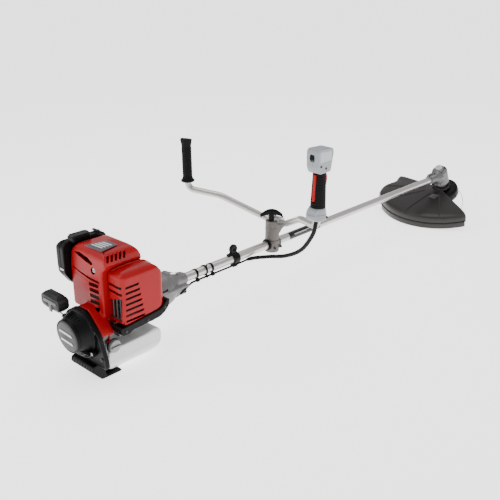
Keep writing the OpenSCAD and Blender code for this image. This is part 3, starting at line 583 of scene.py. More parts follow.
def top_cover():
    side = fillet([(-302, -46), (-305, 100), (-302, 158), (-288, 178), (-222, 180), (-196, 156),
                   (-186, 110), (-186, -46)], 16)
    front = fillet([(80, 3), (80, 118), (74, 154), (55, 172), (2, 178), (-42, 174), (-57, 162), (-61, 136),
                    (-44, 122), (-44, -30), (-26, -46), (-13, -46), (2, -10), (14, 3)], 9)
    body = carve(prism("top_cover", side, "y", -120, 120), [prism("front", front, "x", -340, -150)],
                 "INTERSECT")
    hood = prism("hood", fillet([(-20, 28.5), (20, 28.5), (66, -18), (70, -60), (-75, -60), (-70, -20)],
                                10), "x", -331.5, -296)
    hood_core = prism("hood_core", fillet([(-19, 25.5), (19, 25.5), (63, -19), (67, -80), (-72, -80),
                                           (-67, -20.6)], 8), "x", -350, -306)
    body = shell(mould(join(body, hood), COVER_VOXEL, 5), COVER_WALL)
    openings = [block((-299, -41.5, -60), (-189, 76, 9)), block((-190, -41, -60), (-178, 60, 62)),
                hood_core, block((-345, -120, -80), (-306, 120, -28)),
                block((-306.5, -120, -80), (-290, -53, -30)), rod((-205, 60, 36), (-205, 100, 36), 10.8)]
    ring = rod((-400, 0, 0), (-294, 0, 0), 52.5, sides=96)
    ring.data.transform(Matrix.Rotation(-CRANK_TILT, 4, "Y"))
    openings.append(ring)
    slots = []
    for i in range(COVER_SLOTS):
        z = SLOT_PITCH * i
        slots.append(strip([(7, 86.5 - z), (-31, 88.5 - z), (-31, 78.5 - z), (7, 76.5 - z)], *REAR_CUT))
    upper = fillet([(66, 150), (40, 153), (8, 148), (-12, 138), (-8, 132), (14, 135), (42, 142)], 4)
    slots.append(strip(upper, -312, -292))
    long_slot = [(70, 110), (40, 103.5), (4, 99), (-34, 98), (-34, 91), (4, 93), (40, 99), (70, 107)]
    slots.append(strip(fillet(long_slot, 2), *REAR_CUT))
    slots.append(strip([(-5, -2), (-8, 1), (-26, -5), (-23, -9)], *REAR_CUT))
    slots.append(rod((-312, -12, 119), (-292, -12, 119), 9))
    bevel_slots = []
    for i in range(COVER_SLOTS):
        cut = block((-3.5, -8, -11), (3.5, 8, 13))
        cut.data.transform(Matrix.Translation((-290 + 12.2 * i, -59, 160)) @ Matrix.Rotation(0.35, 4, "Y"))
        bevel_slots.append(cut)
    scoops = [prism("scoop", fillet([(-246, -24), (-226, -22), (-222, -34), (-230, -46)], 3), "z", 175.4,
                    190), prism("scoop", fillet([(-300, 48), (-284, 46), (-284, 60), (-299, 62)],
                                                2), "z", 172.5, 190)]
    carve(body, openings)
    carve(body, [join(*slots), join(*bevel_slots), join(*scoops)])
    # a groove across the rear panel, under the long slot
    line = smooth_path([(-305.6, 78, 100), (-305.8, 50, 93), (-305.8, 20, 88.6), (-305.8, 10, 87.6)], 8)
    carve(body, [sweep("groove", line, 1.8, 10)])
    place(body, NOSE, "frame", RED, angle=40, node="top_cover", slot="red_shell")
    label = prism("top_label", fillet([(-303, 17), (-246, 4), (-244, -36), (-300, -46)],
                                      3), "z", 177.2, 178.2)
    place(label, NOSE, "frame", LABEL, bevel=0.3)
    bars = []
    for i in range(4):
        x, y = 9 * i, -2 * i
        bars.append(prism("bar", [(-290 + x, 8 + y), (-286 + x, 7 + y), (-283 + x, -30), (-287 + x, -31)],
                          "z", 178.2, 178.6))
    place(join(*bars), NOSE, "frame", LABEL_PALE, name="top_label_bars")
    place(bolt((-301, -12, 119), (-292, -12, 119), 6.6, 3, 3, name="cover_bolt"), NOSE,
          "frame", STEEL, bevel=0.5)


def muffler_cover():
    side = fillet([(-286, -8), (-288, 118), (-278, 128), (-215, 133), (-182, 126), (-158, 98), (-149, 60),
                   (-149, 22), (-172, 2)], 12)
    plan = fillet([(-289, -44.6), (-287, -92), (-279, -98), (-164, -98), (-150, -86),
                   (-146, -60), (-146, -44.6)], 7)
    front = fillet([(-44.6, -20), (-44.6, 140), (-58, 134), (-84, 129), (-99, 116), (-99, -20)], 7)
    body = prism("muffler_cover", side, "y", -130, 0)
    carve(body, [prism("plan", plan, "z", -60, 180), prism("front", front, "x", -340, -100)], "INTERSECT")
    body = shell(mould(body, COVER_VOXEL, 4), COVER_WALL)
    carve(body, [block((-283, -95.5, -30), (-154, -47.5, 4)), block((-284, -94, 4), (-152, -30, 112))])
    window = strip(fillet([(-37, 50), (-94, 64), (-92, 3), (-39, 4)], 3), *EXHAUST_CUT)
    rear = []
    for z in (0, 17):
        slot = fillet([(-34, 98 - z), (-94, 95 - z), (-94, 88.5 - z), (-34, 92 - z)], 1.5)
        rear.append(strip(slot, *EXHAUST_CUT))
    sides = []
    for i in range(7):
        cut = prism("slot", fillet([(0, 0), (40 + 2.8 * i, 0), (43 + 2.8 * i, 6), (1, 6)], 1.8), "y", -104,
                    -92)
        sides.append(move(cut, (-276 - 0.4 * i, 0, 88 - 14.6 * i)))
    carve(body, [window, join(*rear), join(*sides)])
    # a raised bead along the top edge
    crest = smooth_path([(-283, -56, 126), (-262, -60, 130.5), (-226, -62, 132), (-192, -62, 128.5),
                         (-170, -64, 114)], 6)
    rib = sweep("cover_crest", crest, 2.6, 12)
    place(body, NOSE, "frame", RED, angle=40, node="muffler_cover", slot="red_shell")
    place(rib, NOSE, "frame", RED, angle=60)
    bars = [rod((-281, -56 - 14 * i, 2), (-281, -56 - 14 * i, 58 + 3 * i), 2.2, sides=12) for i in range(3)]
    bars.append(rod((-281, -42, 3), (-281, -93, 3), 1.8, sides=12))
    place(join(*bars), NOSE, "frame", IRON, name="exhaust_guard")
    box = prism("muffler_can", fillet([(-272, 12), (-272, 102), (-176, 102), (-176, 12)], 10), "y", -90,
                -50)
    seam = prism("seam", fillet([(-275, 9), (-275, 105), (-173, 105), (-173, 9)], 11), "y", -71, -69)
    pipe = lathe("pipe", [(-279, 8), (-279, 11), (-268, 11), (-268, 8)])
    move(pipe, (0, -71, 33))
    place(join(box, seam, pipe), NOSE, "frame", IRON, bevel=1.5, segments=3, node="muffler")


def heat_tray():
    side = [(-292, -30), (-296, -22), (-297, -9), (-288, -9), (-172, 1), (-149, 20), (-141, 20), (-145, 1),
            (-159, -12), (-176, -20), (-262, -24), (-272, -30)]
    body = prism("heat_tray", fillet(side, 4), "y", -101, -49)
    mould(body, 1.6, 4)
    hollow = prism("hollow", [(-290, -5), (-286, -20), (-180, -12), (-154, 8), (-150, 30), (-290, 30)], "y",
                   -97, -38)
    carve(body, [hollow])
    place(body, NOSE, "frame", BLACK, node="heat_tray")
    bolts = [rod((x, -102.4, z), (x, -98, z), 3.4, sides=24)
             for x, z in ((-282, -20), (-214, -14), (-158, 2))]
    place(join(*bolts), NOSE, "frame", SCREW, bevel=0.6, name="tray_screws")


def air_cleaner():
    side = [(-322, 88), (-323, 158), (-312, 170), (-200, 170), (-190, 158), (-190, 78),
            (-214, 54), (-298, 54)]
    case = mould(prism("air_cleaner_case", fillet(side, 7), "y", 80.6, 94), 1.4, 4)
    carve(case, [prism("room", fillet([(x * 0.97 - 8, z * 0.95 + 6) for x, z in side], 6), "y", 84, 99)])
    tube = lathe("tube", [(72.5, 8), (72.5, 11.8), (83, 11.8), (83, 8)], axis="y")
    move(tube, (-222, 0, 82))
    place(join(case, tube), NOSE, "frame", BLACK, node="air_cleaner_case")
    face = fillet([(94.3, 50), (94.3, 172), (104, 170), (111, 158), (111, 92), (101, 52)], 4)
    lid = carve(prism("air_cleaner_cover", fillet(side, 7), "y", 94.3, 112),
                [prism("face", face, "x", -340, -160)], "INTERSECT")
    lid = shell(mould(lid, 1.8, 4), COVER_WALL)
    carve(lid, [block((-340, 90, 40), (-160, 95.6, 190))])
    ribs = [block((-300 + 14 * i, 108, 100), (-294 + 14 * i, 112.3, 150)) for i in range(7)]
    carve(lid, [join(*ribs)])
    place(lid, NOSE, "cleaner_door", BLACK, node="air_cleaner_cover")
    facet = prism("air_cleaner_facet", fillet([(-318, 96), (-318, 160), (-321.5, 156), (-321.5, 100)], 1),
                  "y", 95, 107)
    place(facet, NOSE, "cleaner_door", CHARCOAL, bevel=0.6)
    knob = prism("cleaner_block", fillet([(-304, 60), (-304, 88), (-250, 88), (-246, 74), (-252, 60)], 5),
                 "z", 172, 183)
    place(mould(knob, 1.2, 3), NOSE, "frame", BLACK)
    cap = prism("cleaner_block_top", fillet([(-302, 62), (-302, 86), (-252, 86), (-249, 74),
                                             (-254, 62)], 5), "z", 183, 187)
    place(mould(cap, 1.0, 3), NOSE, "frame", CHARCOAL)
    clip = prism("cleaner_clip", fillet([(-323.5, 84), (-323.5, 100), (-320, 100), (-320, 84)], 1), "z", 96,
                 101)
    place(clip, NOSE, "frame", STEEL, bevel=0.4)


def fuel_tank():
    side = fillet([(-301, -118), (-300, -96), (-294, -87), (-180, -85), (-142, -79), (-131, -92),
                   (-131, -120), (-150, -144), (-180, -152), (-280, -153), (-300, -142)], 12)
    front = fillet([(-34, -153), (-51, -132), (-51, -80), (58, -78), (67, -92), (67, -130), (52, -153)], 10)
    tank = carve(prism("fuel_tank", side, "y", -90, 90), [prism("front", front, "x", -330, -110)],
                 "INTERSECT")
    neck = rod((CAP_X, -30, CAP_Z), (CAP_X, -51, CAP_Z), 13)
    shoulder = rod((CAP_X + 2, -40, -84), (CAP_X + 8, -24, -98), 18)
    carve(tank, [neck, shoulder], "UNION")
    tank = mould(tank, 2.2, 10)
    seam = prism("seam", fillet([(-300, -119), (-290, -118), (-140, -116), (-134, -119), (-140, -121),
                                 (-296, -123)], 1), "y", -51.4, 67)
    place(tank, NOSE, "frame", TANK, angle=60, node="fuel_tank")
    place(mould(seam, 1.2, 2), NOSE, "frame", TANK, angle=60)
    ring = lathe("cap_ring", [(-53.5, 15), (-53.5, 18.4), (-51, 18.8), (-51, 15)], axis="y")
    move(ring, (CAP_X, 0, CAP_Z))
    place(ring, NOSE, "frame", BLACK)
    profile = [(-51.2, 0), (-51.2, 16.8), (-60, 16.8), (-62, 15.6), (-62.6, 12), (-62.6, 0)]
    cap = lathe("fuel_cap", profile, sides=48, axis="y", closed=False)
    move(cap, (CAP_X, 0, CAP_Z))
    grip = move(prism("cap_grip", fillet([(-14, -2.5), (-14, 2.5), (14, 2.5), (14, -2.5)], 2), "y", -67.5,
                      -60), (CAP_X, 0, CAP_Z))
    knurls = []
    for i in range(24):
        x, z = on_circle(16.8, 15 * i)
        knurls.append(rod((CAP_X + x, -52, CAP_Z + z), (CAP_X + x, -60, CAP_Z + z), 0.9, sides=8))
    place(join(cap, mould(grip, 0.9, 3), *knurls), NOSE, "cap", GREY_CAP, angle=40, node="fuel_cap",
          slot="grey_plastic")


# ---------- starter and fan ----------
def arc(radius, along, start, end, steps=24):
    """Points of an arc about the X axis, angles in degrees from +Y towards +Z."""
    out = []
    for i in range(steps + 1):
        out.append(Vector((along, *on_circle(radius, start + (end - start) * i / steps))))
    return out


RIM = [(-20, 60), (20, 60), (72, 8), (78, -18), (88, -60), (88, -83.5), (-88, -83.5), (-88, -60),
       (-78, -18), (-72, 8)]


def fan_case():
    drum = lathe("drum", [(-340, 44), (-340, 50), (-314, 50), (-312.6, 48.5), (-312.6, 36), (-317, 36),
                          (-317, 44)], sides=96)
    plate = mould(prism("fan_case", fillet(RIM, 12), "x", -345, -333), 1.6, 4)
    carve(plate, [rod((-350, 0, 0), (-330, 0, 0), 44, sides=96)])
    trench = mould(prism("trench", fillet([(0.93 * y, 0.93 * z - 1) for y, z in RIM], 12), "x",
                         -352, -342.6), 1.6, 3)
    carve(trench, [rod((-360, 0, 0), (-338, 0, 0), 60, sides=96)])
    carve(plate, [trench])
    place(plate, CRANK, "frame", BLACK, angle=40, node="fan_case", slot="black_plastic")
    place(drum, CRANK, "frame", BLACK, bevel=0.4, name="fan_drum")
    duct = join(block((-302.2, -38, -20), (-300.6, 58, 62)), block((-313.5, 33, -16), (-301, 39, -6)),
                block((-313.5, -38, -16), (-301, -33, -6)))
    place(duct, NOSE, "frame", BLACK, bevel=0.4, name="fan_duct")
    screws = [bolt((-347.5, y, z), (-341, y, z), 4.6, 2.2, 2.1)
              for y, z in ((70, -52), (-74, -56), (58, 14), (-58, 14))]
    place(join(*screws), CRANK, "frame", SCREW, bevel=0.4, name="rim_screws")


def recoil_cover():
    profile = [(-378, 0), (-378, 40.6), (-376, 43.6), (-372, 46.4), (-364, 49.4), (-354, 52.2),
               (-350.6, 54.6), (-349.6, 58.4), (-348, 59.6), (-345.3, 59.6), (-345.3, 52), (-350, 49),
               (-362, 45), (-371, 42), (-375, 38), (-375, 0)]
    cover = lathe("recoil_cover", profile, sides=128)
    cuts = []
    for angle in range(70, 122, 10):
        vent = [(-371, *on_circle(48, angle)), (-356, *on_circle(51, angle))]
        cuts.append(sweep("vent", vent, 2.2, 10))
    cuts.append(sweep("arc_slot", arc(57, -350.4, 126, 232), 1.7, 10))
    cuts.append(sweep("arc_slot", arc(57, -350.4, -40, 30), 1.7, 10))
    carve(cover, [join(*cuts)])
    to_crank = CRANK.inverted() @ NOSE
    pocket = block((-386, 24.5, 11.5), (-349.5, 103.5, 110))
    hole = rod((-357, 38, -6), (-366, 64, 40), 4)
    for tool in (pocket, hole):
        tool.data.transform(to_crank)
    carve(cover, [pocket, hole])
    place(cover, CRANK, "frame", BLACK, angle=30, node="recoil_cover", slot="black_plastic")
    # ribs and a screw boss on the lower part
    ribs = []
    for angle in range(232, 284, 8):
        rib = prism("rib", fillet([(-377, 40), (-374, 46), (-362, 62), (-349, 74), (-345.2, 74),
                                   (-345.2, 58), (-352, 50)], 2), "z", -1.3, 1.3)
        ribs.append(spin(rib, angle, "X"))
    lower = [sweep("step", arc(57.5, -364, 228, 286), 1.6, 10),
             sweep("step", arc(68, -354.4, 226, 288), 1.6, 10)]
    place(join(*ribs, *lower), CRANK, "frame", BLACK_SHINY, bevel=0.4, name="recoil_ribs")
    y, z = on_circle(66, 222)
    boss = bolt((-357, y, z), (-345.2, y, z), 7, 4.8, 3, name="recoil_boss", socket_sides=32)
    place(boss, CRANK, "frame", BLACK, bevel=0.6)
    screw = bolt((-356.4, y, z), (-349, y, z), 4.2, 2.0, 2.4, name="recoil_bolt")
    place(screw, CRANK, "frame", STEEL, bevel=0.4)
    guide = mould(rod((-355, 36, -8), (-359.6, 46, 4), 8, r_end=5.4), 1.2, 3)
    carve(guide, [rod((-354, 30, -8), (-360.4, 51.5, 8), 2.8)])
    place(guide, NOSE, "frame", BLACK, name="rope_guide")


def emblem():
    disc = lathe("emblem_disc", [(-378.2, 0), (-378.2, 40.5), (-382, 41), (-384.5, 39), (-385.6, 35),
                                 (-386.6, 20), (-387, 0)], sides=96, closed=False)
    carve(disc, [lathe("groove", [(-388, 34.2), (-388, 36), (-385.4, 36), (-385.4, 34.2)], sides=96)])
    place(disc, CRANK, "frame", EMBLEM)
    bands = []
    for low, reach in ((7, 27), (-16, 25)):
        outline = fillet([(-reach, low), (reach, low + 3), (reach - 3, low + 9), (-reach + 3, low + 6)], 3)
        bands.append(prism("band", outline, "x", -387.8, -385))
    place(join(*bands), CRANK, "frame", STEEL, bevel=0.5, name="emblem_bands")
    rim = lathe("emblem_rim", [(-384, 41), (-384, 43.5), (-378, 45), (-376.4, 45), (-376.4, 41)], sides=96)
    place(rim, CRANK, "frame", BLACK, bevel=0.4)


HANDLE = Vector((-367, 64, 38))


def starter_handle():
    side = [(-15, -14), (-8, -24), (8, -24), (15, -14), (15, 12), (6, 24), (-8, 24), (-15, 14)]
    front = [(-37, -10), (-24, -24), (24, -24), (37, -8), (37, 10), (22, 24), (-22, 24), (-37, 10)]
    body = carve(prism("starter_handle", fillet(side, 4), "y", -37, 37),
                 [prism("front", fillet(front, 5), "x", -20, 20)], "INTERSECT")
    carve(body, [block((-18, -27, -3.4), (-13.4, 27, 5.4)), block((-18, -7, -26), (-13.4, 5, 0))])
    waist = sweep("waist", [Vector((-18, -37, -14)), Vector((-12, 0, -20)), Vector((-18, 37, -14))], 2.2,
                  10)
    carve(body, [waist])
    move(body, HANDLE)
    place(body, NOSE, "pull", CHARCOAL, bevel=0.6, node="starter_handle", slot="black_plastic")
    bar = join(prism("bar", fillet([(-27, -3.2), (-27, 5.2), (27, 5.2), (27, -3.2)], 1.5), "x", -16.2, -13),
               prism("stem", fillet([(-6.6, -24), (-6.6, -2), (4.6, -2), (4.6, -24)], 1.5), "x", -16, -13))
    move(bar, HANDLE)
    place(bar, NOSE, "pull", LABEL, bevel=0.5, name="starter_handle_inlay")
    foot = HANDLE - Vector((0, 0, 24))
    start = Vector((-357, 38, 0))
    rope = sweep("starter_rope", spaced([start, foot], 1.0), lambda t: 1.8 + 0.15 * math.sin(2.2 * t), 14)
    place(rope, NOSE, None, ROPE)
    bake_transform(rope)
    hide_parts("starter_rope")


def base_foot():
    outline = [(-348, -116), (-350, -130), (-322, -160), (-262, -160), (-262, -153.6), (-308, -153.6),
               (-312, -136), (-312, -118), (-330, -112)]
    foot = prism("base_foot", fillet(outline, 4), "y", -46, 46)
    hollow = prism("hollow", fillet([(-341, -129), (-322, -153), (-315, -150), (-319, -134),
                                     (-334, -124)], 2), "y", -41, 41)
    mould(foot, 1.6, 3)
    carve(foot, [hollow])
    grooves = [block((-352, -38 + 11 * i, -150), (-330, -35 + 11 * i, -120)) for i in range(8)]
    carve(foot, [join(*grooves)])
    carve(foot, [block((-400, -80, FOOT_Z - 10), (-200, 80, FOOT_Z))])
    place(foot, NOSE, "frame", BLACK, node="base_foot", slot="black_plastic")


# ---------- clutch housing ----------
def oval(x, z, half_y, half_z, power=2.0, sides=64):
    """A ring of points across X, round at power 2 and squarer above it."""
    out = []
    for i in range(sides):
        a = 2 * math.pi * i / sides
        c, s = math.cos(a), math.sin(a)
        out.append((x, half_y * math.copysign(abs(c) ** (2 / power), c),
                    z + half_z * math.copysign(abs(s) ** (2 / power), s)))
    return out


def clutch_housing():
    rings = [oval(-139.7, -12, 48, 48), oval(-132, -11.4, 48, 48), oval(-100, -8.6, 47, 47),
             oval(-80, -7, 46, 46), oval(-66, -7, 41, 42), oval(-52, -7, 32, 35),
             oval(-40, -5, 23.5, 28, 2.3), oval(-30, -2, 19, 22, 2.4), oval(-20, 0, 17.6, 18),
             oval(-2, 0, 17.4, 17.4), oval(0, 0, 16.4, 16.4)]
    body = loft("clutch_housing", rings)
    parts = [body, prism("clamp", fillet([(-42, -34), (-42, -44), (0, -42), (0, -8), (-40, -8)], 3), "y",
                         -9, 9), prism("rib", fillet([(-96, 34), (-60, 34), (-10, 16), (-10, 22), (-36, 26),
                                                      (-66, 42), (-96, 42)], 2), "y", -4, 4),
             rod((-70, 0, 20), (-70, 0, 41), 8)]
    for side in (-1, 1):
        parts.append(prism("rib", fillet([(-96, -2), (-56, -2), (-22, -2), (-22, 3), (-56, 4), (-96, 4)],
                                         2), "y", min(side * 30, side * 48.6), max(side * 30, side * 48.6)))
    for i in range(4):
        y, z = on_circle(47, 45 + 90 * i)
        ear = rod((-139.7, y, z), (-129.5, y, z), 7.5)
        ear.data.transform(CRANK_IN_NOSE)
        parts.append(ear)
    shape = mould(join(*parts), 1.5, 4)
    bell = lathe("bell", [(-150, 0), (-150, 39), (-98, 39), (-90, 30), (-90, 0)])
    bell.data.transform(CRANK_IN_NOSE)
    back = block((-160, -90, -90), (-141.6, 90, 90))
    back.data.transform(CRANK_IN_NOSE)
    split = block((-36, -1, -46), (2, 1, -12))
    carve(shape, [bell, rod((-20, 0, 0), (3, 0, 0), TUBE_BORE), split, back])
    windows = [block((-120, -60, 6 + 14 * i), (-96, -38, 12 + 14 * i)) for i in range(2)]
    carve(shape, [join(*windows)])
    place(shape, NOSE, "frame", CAST, angle=40, node="clutch_housing", slot="cast_metal")


# ---------- tube and what it carries ----------
def band(name, radius, wall, x_low, x_high, start, end, steps=32):
    """A thin label round part of the tube, angles in degrees from +Y towards +Z."""
    outer = [(radius + wall, start + (end - start) * i / steps) for i in range(steps + 1)]
    inner = [(radius, angle) for _, angle in reversed(outer)]
    return prism(name, [on_circle(r, a) for r, a in outer + inner], "x", x_low, x_high)


def tube_labels():
    place(band("tube_label", 13.02, 0.22, 446, 604, 96, 214), NOSE, "frame", LABEL_DARK)
    marks = [band("mark", 13.24, 0.12, 470, 560, 146, 152), band("mark", 13.24, 0.12, 470, 530, 158, 162)]
    place(join(*marks), NOSE, "frame", LABEL_PALE, name="tube_label_marks")
    place(band("tube_stripe", 13.02, 0.16, 814, 1039, 172, 186), NOSE, "frame", LABEL_PALE)


CABLE_SEAT = (0, -12, -15.6)
CABLE_Y, CABLE_Z = CABLE_SEAT[1:]


def cable_clips():
    rings = []
    for x in (40, 100):
        ring = lathe("ring", [(x - 4, 13.1), (x - 4, 13.7), (x - 3.6, 14.1), (x + 3.6, 14.1),
                              (x + 4, 13.7), (x + 4, 13.1)])
        loop = lathe("loop", [(x - 4, 3.6), (x - 4, 5.6), (x + 4, 5.6), (x + 4, 3.6)], sides=32)
        move(loop, CABLE_SEAT)
        rings += [ring, loop]
    place(join(*rings), NOSE, "frame", BLACK, bevel=0.3, node="cable_clips", name="cable_clips_pair")
    tie = lathe("cable_tie", [(74, 13.1), (74, 15.4), (78.5, 15.4), (78.5, 13.1)], sides=48)
    head = block((73.5, -10.5, 12.2), (79, -6, 16.5))
    tail = block((74.8, -12.5, 15), (77.6, -10.5, 23))
    loop = lathe("loop", [(74, 3.4), (74, 4.6), (78.5, 4.6), (78.5, 3.4)], sides=24)
    move(loop, CABLE_SEAT)
    place(join(tie, head, tail, loop), NOSE, "frame", BLACK, bevel=0.4)


def hanger():
    clamp = lathe("hanger_clamp", [(188, 13.1), (188, 17), (189.5, 18), (210.5, 18),
                                   (212, 17), (212, 13.1)])
    neck = prism("neck", fillet([(182, 14.4), (182, 18), (190, 26), (202, 26), (210, 18), (210, 14.4)], 2),
                 "y", -5, 5)
    eye = lathe("eye", [(-5, 5), (-5, 12.8), (-3.8, 14), (3.8, 14), (5, 12.8), (5, 5)], axis="y")
    move(eye, (196, 0, 30))
    foot = prism("foot", fillet([(190, -26), (190, -15), (210, -15), (210, -26)], 3), "y", -7, 7)
    tail = prism("tail", fillet([(172, 13.4), (172, 18), (188, 18), (188, 13.4)], 1.5), "y", -6, 6)
    body = mould(join(clamp, neck, eye, foot, tail), 0.9, 3)
    cable = rod((150, CABLE_Y, CABLE_Z), (240, CABLE_Y, CABLE_Z), 3.6)
    bore = rod((150, 0, 0), (240, 0, 0), TUBE_BORE)
    pin = rod((196, -9, 30), (196, 9, 30), 6.0)
    split = block((189, -1, -29), (213, 1, -12))
    carve(body, [bore, pin, split, cable])
    place(body, NOSE, "frame", BLACK, node="hanger", slot="black_plastic")


# ---------- handlebar clamp ----------
COLUMN_X = 372
BAR_X = 390
BAR_Z = 68


def upright(profile, name="part", closed=False, sides=64, at=(COLUMN_X, 0)):
    """A turned part about a vertical axis, profile of (z, radius)."""
    obj = lathe(name, profile, sides=sides, axis="z", closed=closed)
    move(obj, (at[0], at[1], 0))
    return obj


def clamp_column():
    post = upright([(-25, 0), (-25, 21), (-23.5, 22.5), (13.6, 22.5), (13.6, 0)], "clamp_column")
    sleeve = lathe("sleeve", [(349.8, 0), (349.8, 20), (351.2, 21.4), (393, 21.4), (394.4, 20),
                              (394.4, 0)], closed=False)
    pads = [rod((358 + 28 * i, -23, -8), (358 + 28 * i, -10, -8), 5.5) for i in range(2)]
    body = mould(join(post, sleeve, *pads), 1.3, 3)
    carve(body, [rod((340, 0, 0), (404, 0, 0), TUBE_BORE), block((340, -40, 13.7), (410, 40, 40)),
                 block((340, 0, -2), (404, 40, -0.8)), rod((372, 0, 12), (372, 0, 20), 5)])
    place(body, NOSE, "frame", BRACKET, angle=38, node="clamp_column", slot="grey_cast")
    ring = lathe("tube_collar", [(342, 13.1), (342, 16), (343, 16.8), (348.8, 16.8),
                                 (349.5, 16.2), (349.5, 13.1)])
    place(ring, NOSE, "frame", BLACK, bevel=0.3)
    bolts = []
    for i in range(2):
        x = 358 + 28 * i
        bolts.append(bolt((x, -27, -8), (x, -23.4, -8), 4.4, 2.2, 2))
    place(join(*bolts), NOSE, "frame", SCREW, bevel=0.3, name="column_bolts")


def swivel_head():
    post = upright([(14, 0), (14, 21.8), (76, 21.8), (76, 0)], "swivel_head")
    arm = prism("arm", fillet([(372, 30), (386, 38), (394, 47), (406, 51), (406, 67.7), (372, 67.7)],
                              3), "y", -21.6, 21.6)
    body = mould(join(post, arm), 1.3, 2)
    seam = upright([(53.7, 20.6), (53.7, 24), (55.3, 24), (55.3, 20.6)], "seam", closed=True)
    notch = block((371, -30, 67.8), (420, 30, 90))
    carve(body, [notch, rod((BAR_X, -40, BAR_Z), (BAR_X, 40, BAR_Z), BAR_BORE),
                 rod((366, 0, 10), (366, 0, 90), 4.2), block((340, -40, 0), (420, 40, 14))])
    carve(seam, [block((340, -60, 40), (371, 60, 60))], "INTERSECT")
    carve(body, [seam])
    place(body, NOSE, "swivel", BRACKET, angle=38, node="swivel_head", slot="grey_cast")
    cap = prism("bar_cap", fillet([(373.6, 68.3), (373.6, 79), (378, 82.2), (401, 82.2), (406, 78.5),
                                   (406, 68.3)], 3), "y", -20, 20)
    mould(cap, 1.0, 2)
    sockets = [rod((402.7, 14 * side, 60), (402.7, 14 * side, 90), 2.4) for side in (-1, 1)]
    carve(cap, [rod((BAR_X, -40, BAR_Z), (BAR_X, 40, BAR_Z), BAR_BORE),
                block((360, -30, 60), (420, 30, 68.2)), upright([(60, 0), (60, 18.4), (90, 18.4), (90, 0)],
                                                                "clear"), *sockets])
    place(cap, NOSE, "swivel", BAR, angle=38, node="bar_cap", slot="tube_metal")


def wing_knob():
    stem = upright([(26.4, 0), (26.4, 4), (78, 4), (78, 0)], "wing_knob", at=(366, 0), sides=32)
    hub = upright([(76.4, 0), (76.4, 8.4), (79, 9.4), (90, 8.6), (104, 7), (104, 0)], "hub", at=(366, 0))
    rings = []
    for i in range(17):
        t = -1 + i / 8
        tall, thick = 10.5 - 4.5 * t * t, 6.2 - 2.6 * t * t
        ring = []
        for j in range(24):
            a = 2 * math.pi * j / 24
            ring.append((34.5 * t, thick * math.cos(a), 104.5 - 13 * t * t + tall * math.sin(a) * 0.9))
        rings.append(ring)
    wing = loft("wing", rings)
    move(spin(wing, -42), (366, 0, 0))
    place(mould(join(stem, hub, wing), 0.9, 3), NOSE, "knob", BLACK, angle=50, node="wing_knob",
          slot="black_plastic")


# ---------- handlebar and grips ----------
BAR_LINE = [(BAR_X, 0, BAR_Z), (BAR_X, 37, BAR_Z), (306, 160, 135), tuple(GRIP_FOOT),
            tuple(GRIP_TOP - grip_dir * 5)]
BAR_BENDS = [0, 45, 90, 27, 0]


def handlebar():
    half = rounded_path(BAR_LINE, BAR_BENDS, 12)
    other = [Vector((p.x, -p.y, p.z)) for p in reversed(half[1:])]
    place(sweep("handlebar", other + half, 10, 40), NOSE, "swivel", BAR, angle=50,
          node="handlebar", slot="tube_metal")


def left_grip():
    profile = [(0, GRIP_BORE), (0, 20.4), (1.2, 21.4), (4.6, 21.4), (6, 19.5), (9, 17.5),
               (14, 15.6), (20, 14.8)]
    z = 24
    while z < 110:
        profile += [(z, 14.7), (z + 1.2, 15.6), (z + 3.2, 15.6), (z + 4.4, 14.7)]
        z += 6.2
    profile += [(116, 15.2), (126, 17), (133, 18.4), (136, 17.4), (137, 15), (137, 0),
                (132, 0), (132, GRIP_BORE)]
    grip = lathe("left_grip", profile, sides=72, axis="z")
    slope = block((-40, -40, 0), (40, 40, 30))
    slope.data.transform(Matrix.Translation((0, 0, 135.5)) @ Matrix.Rotation(math.radians(9), 4, "Y"))
    carve(grip, [slope])
    place(grip, LEFT_GRIP, "swivel", RUBBER, angle=40, node="left_grip", slot="rubber")


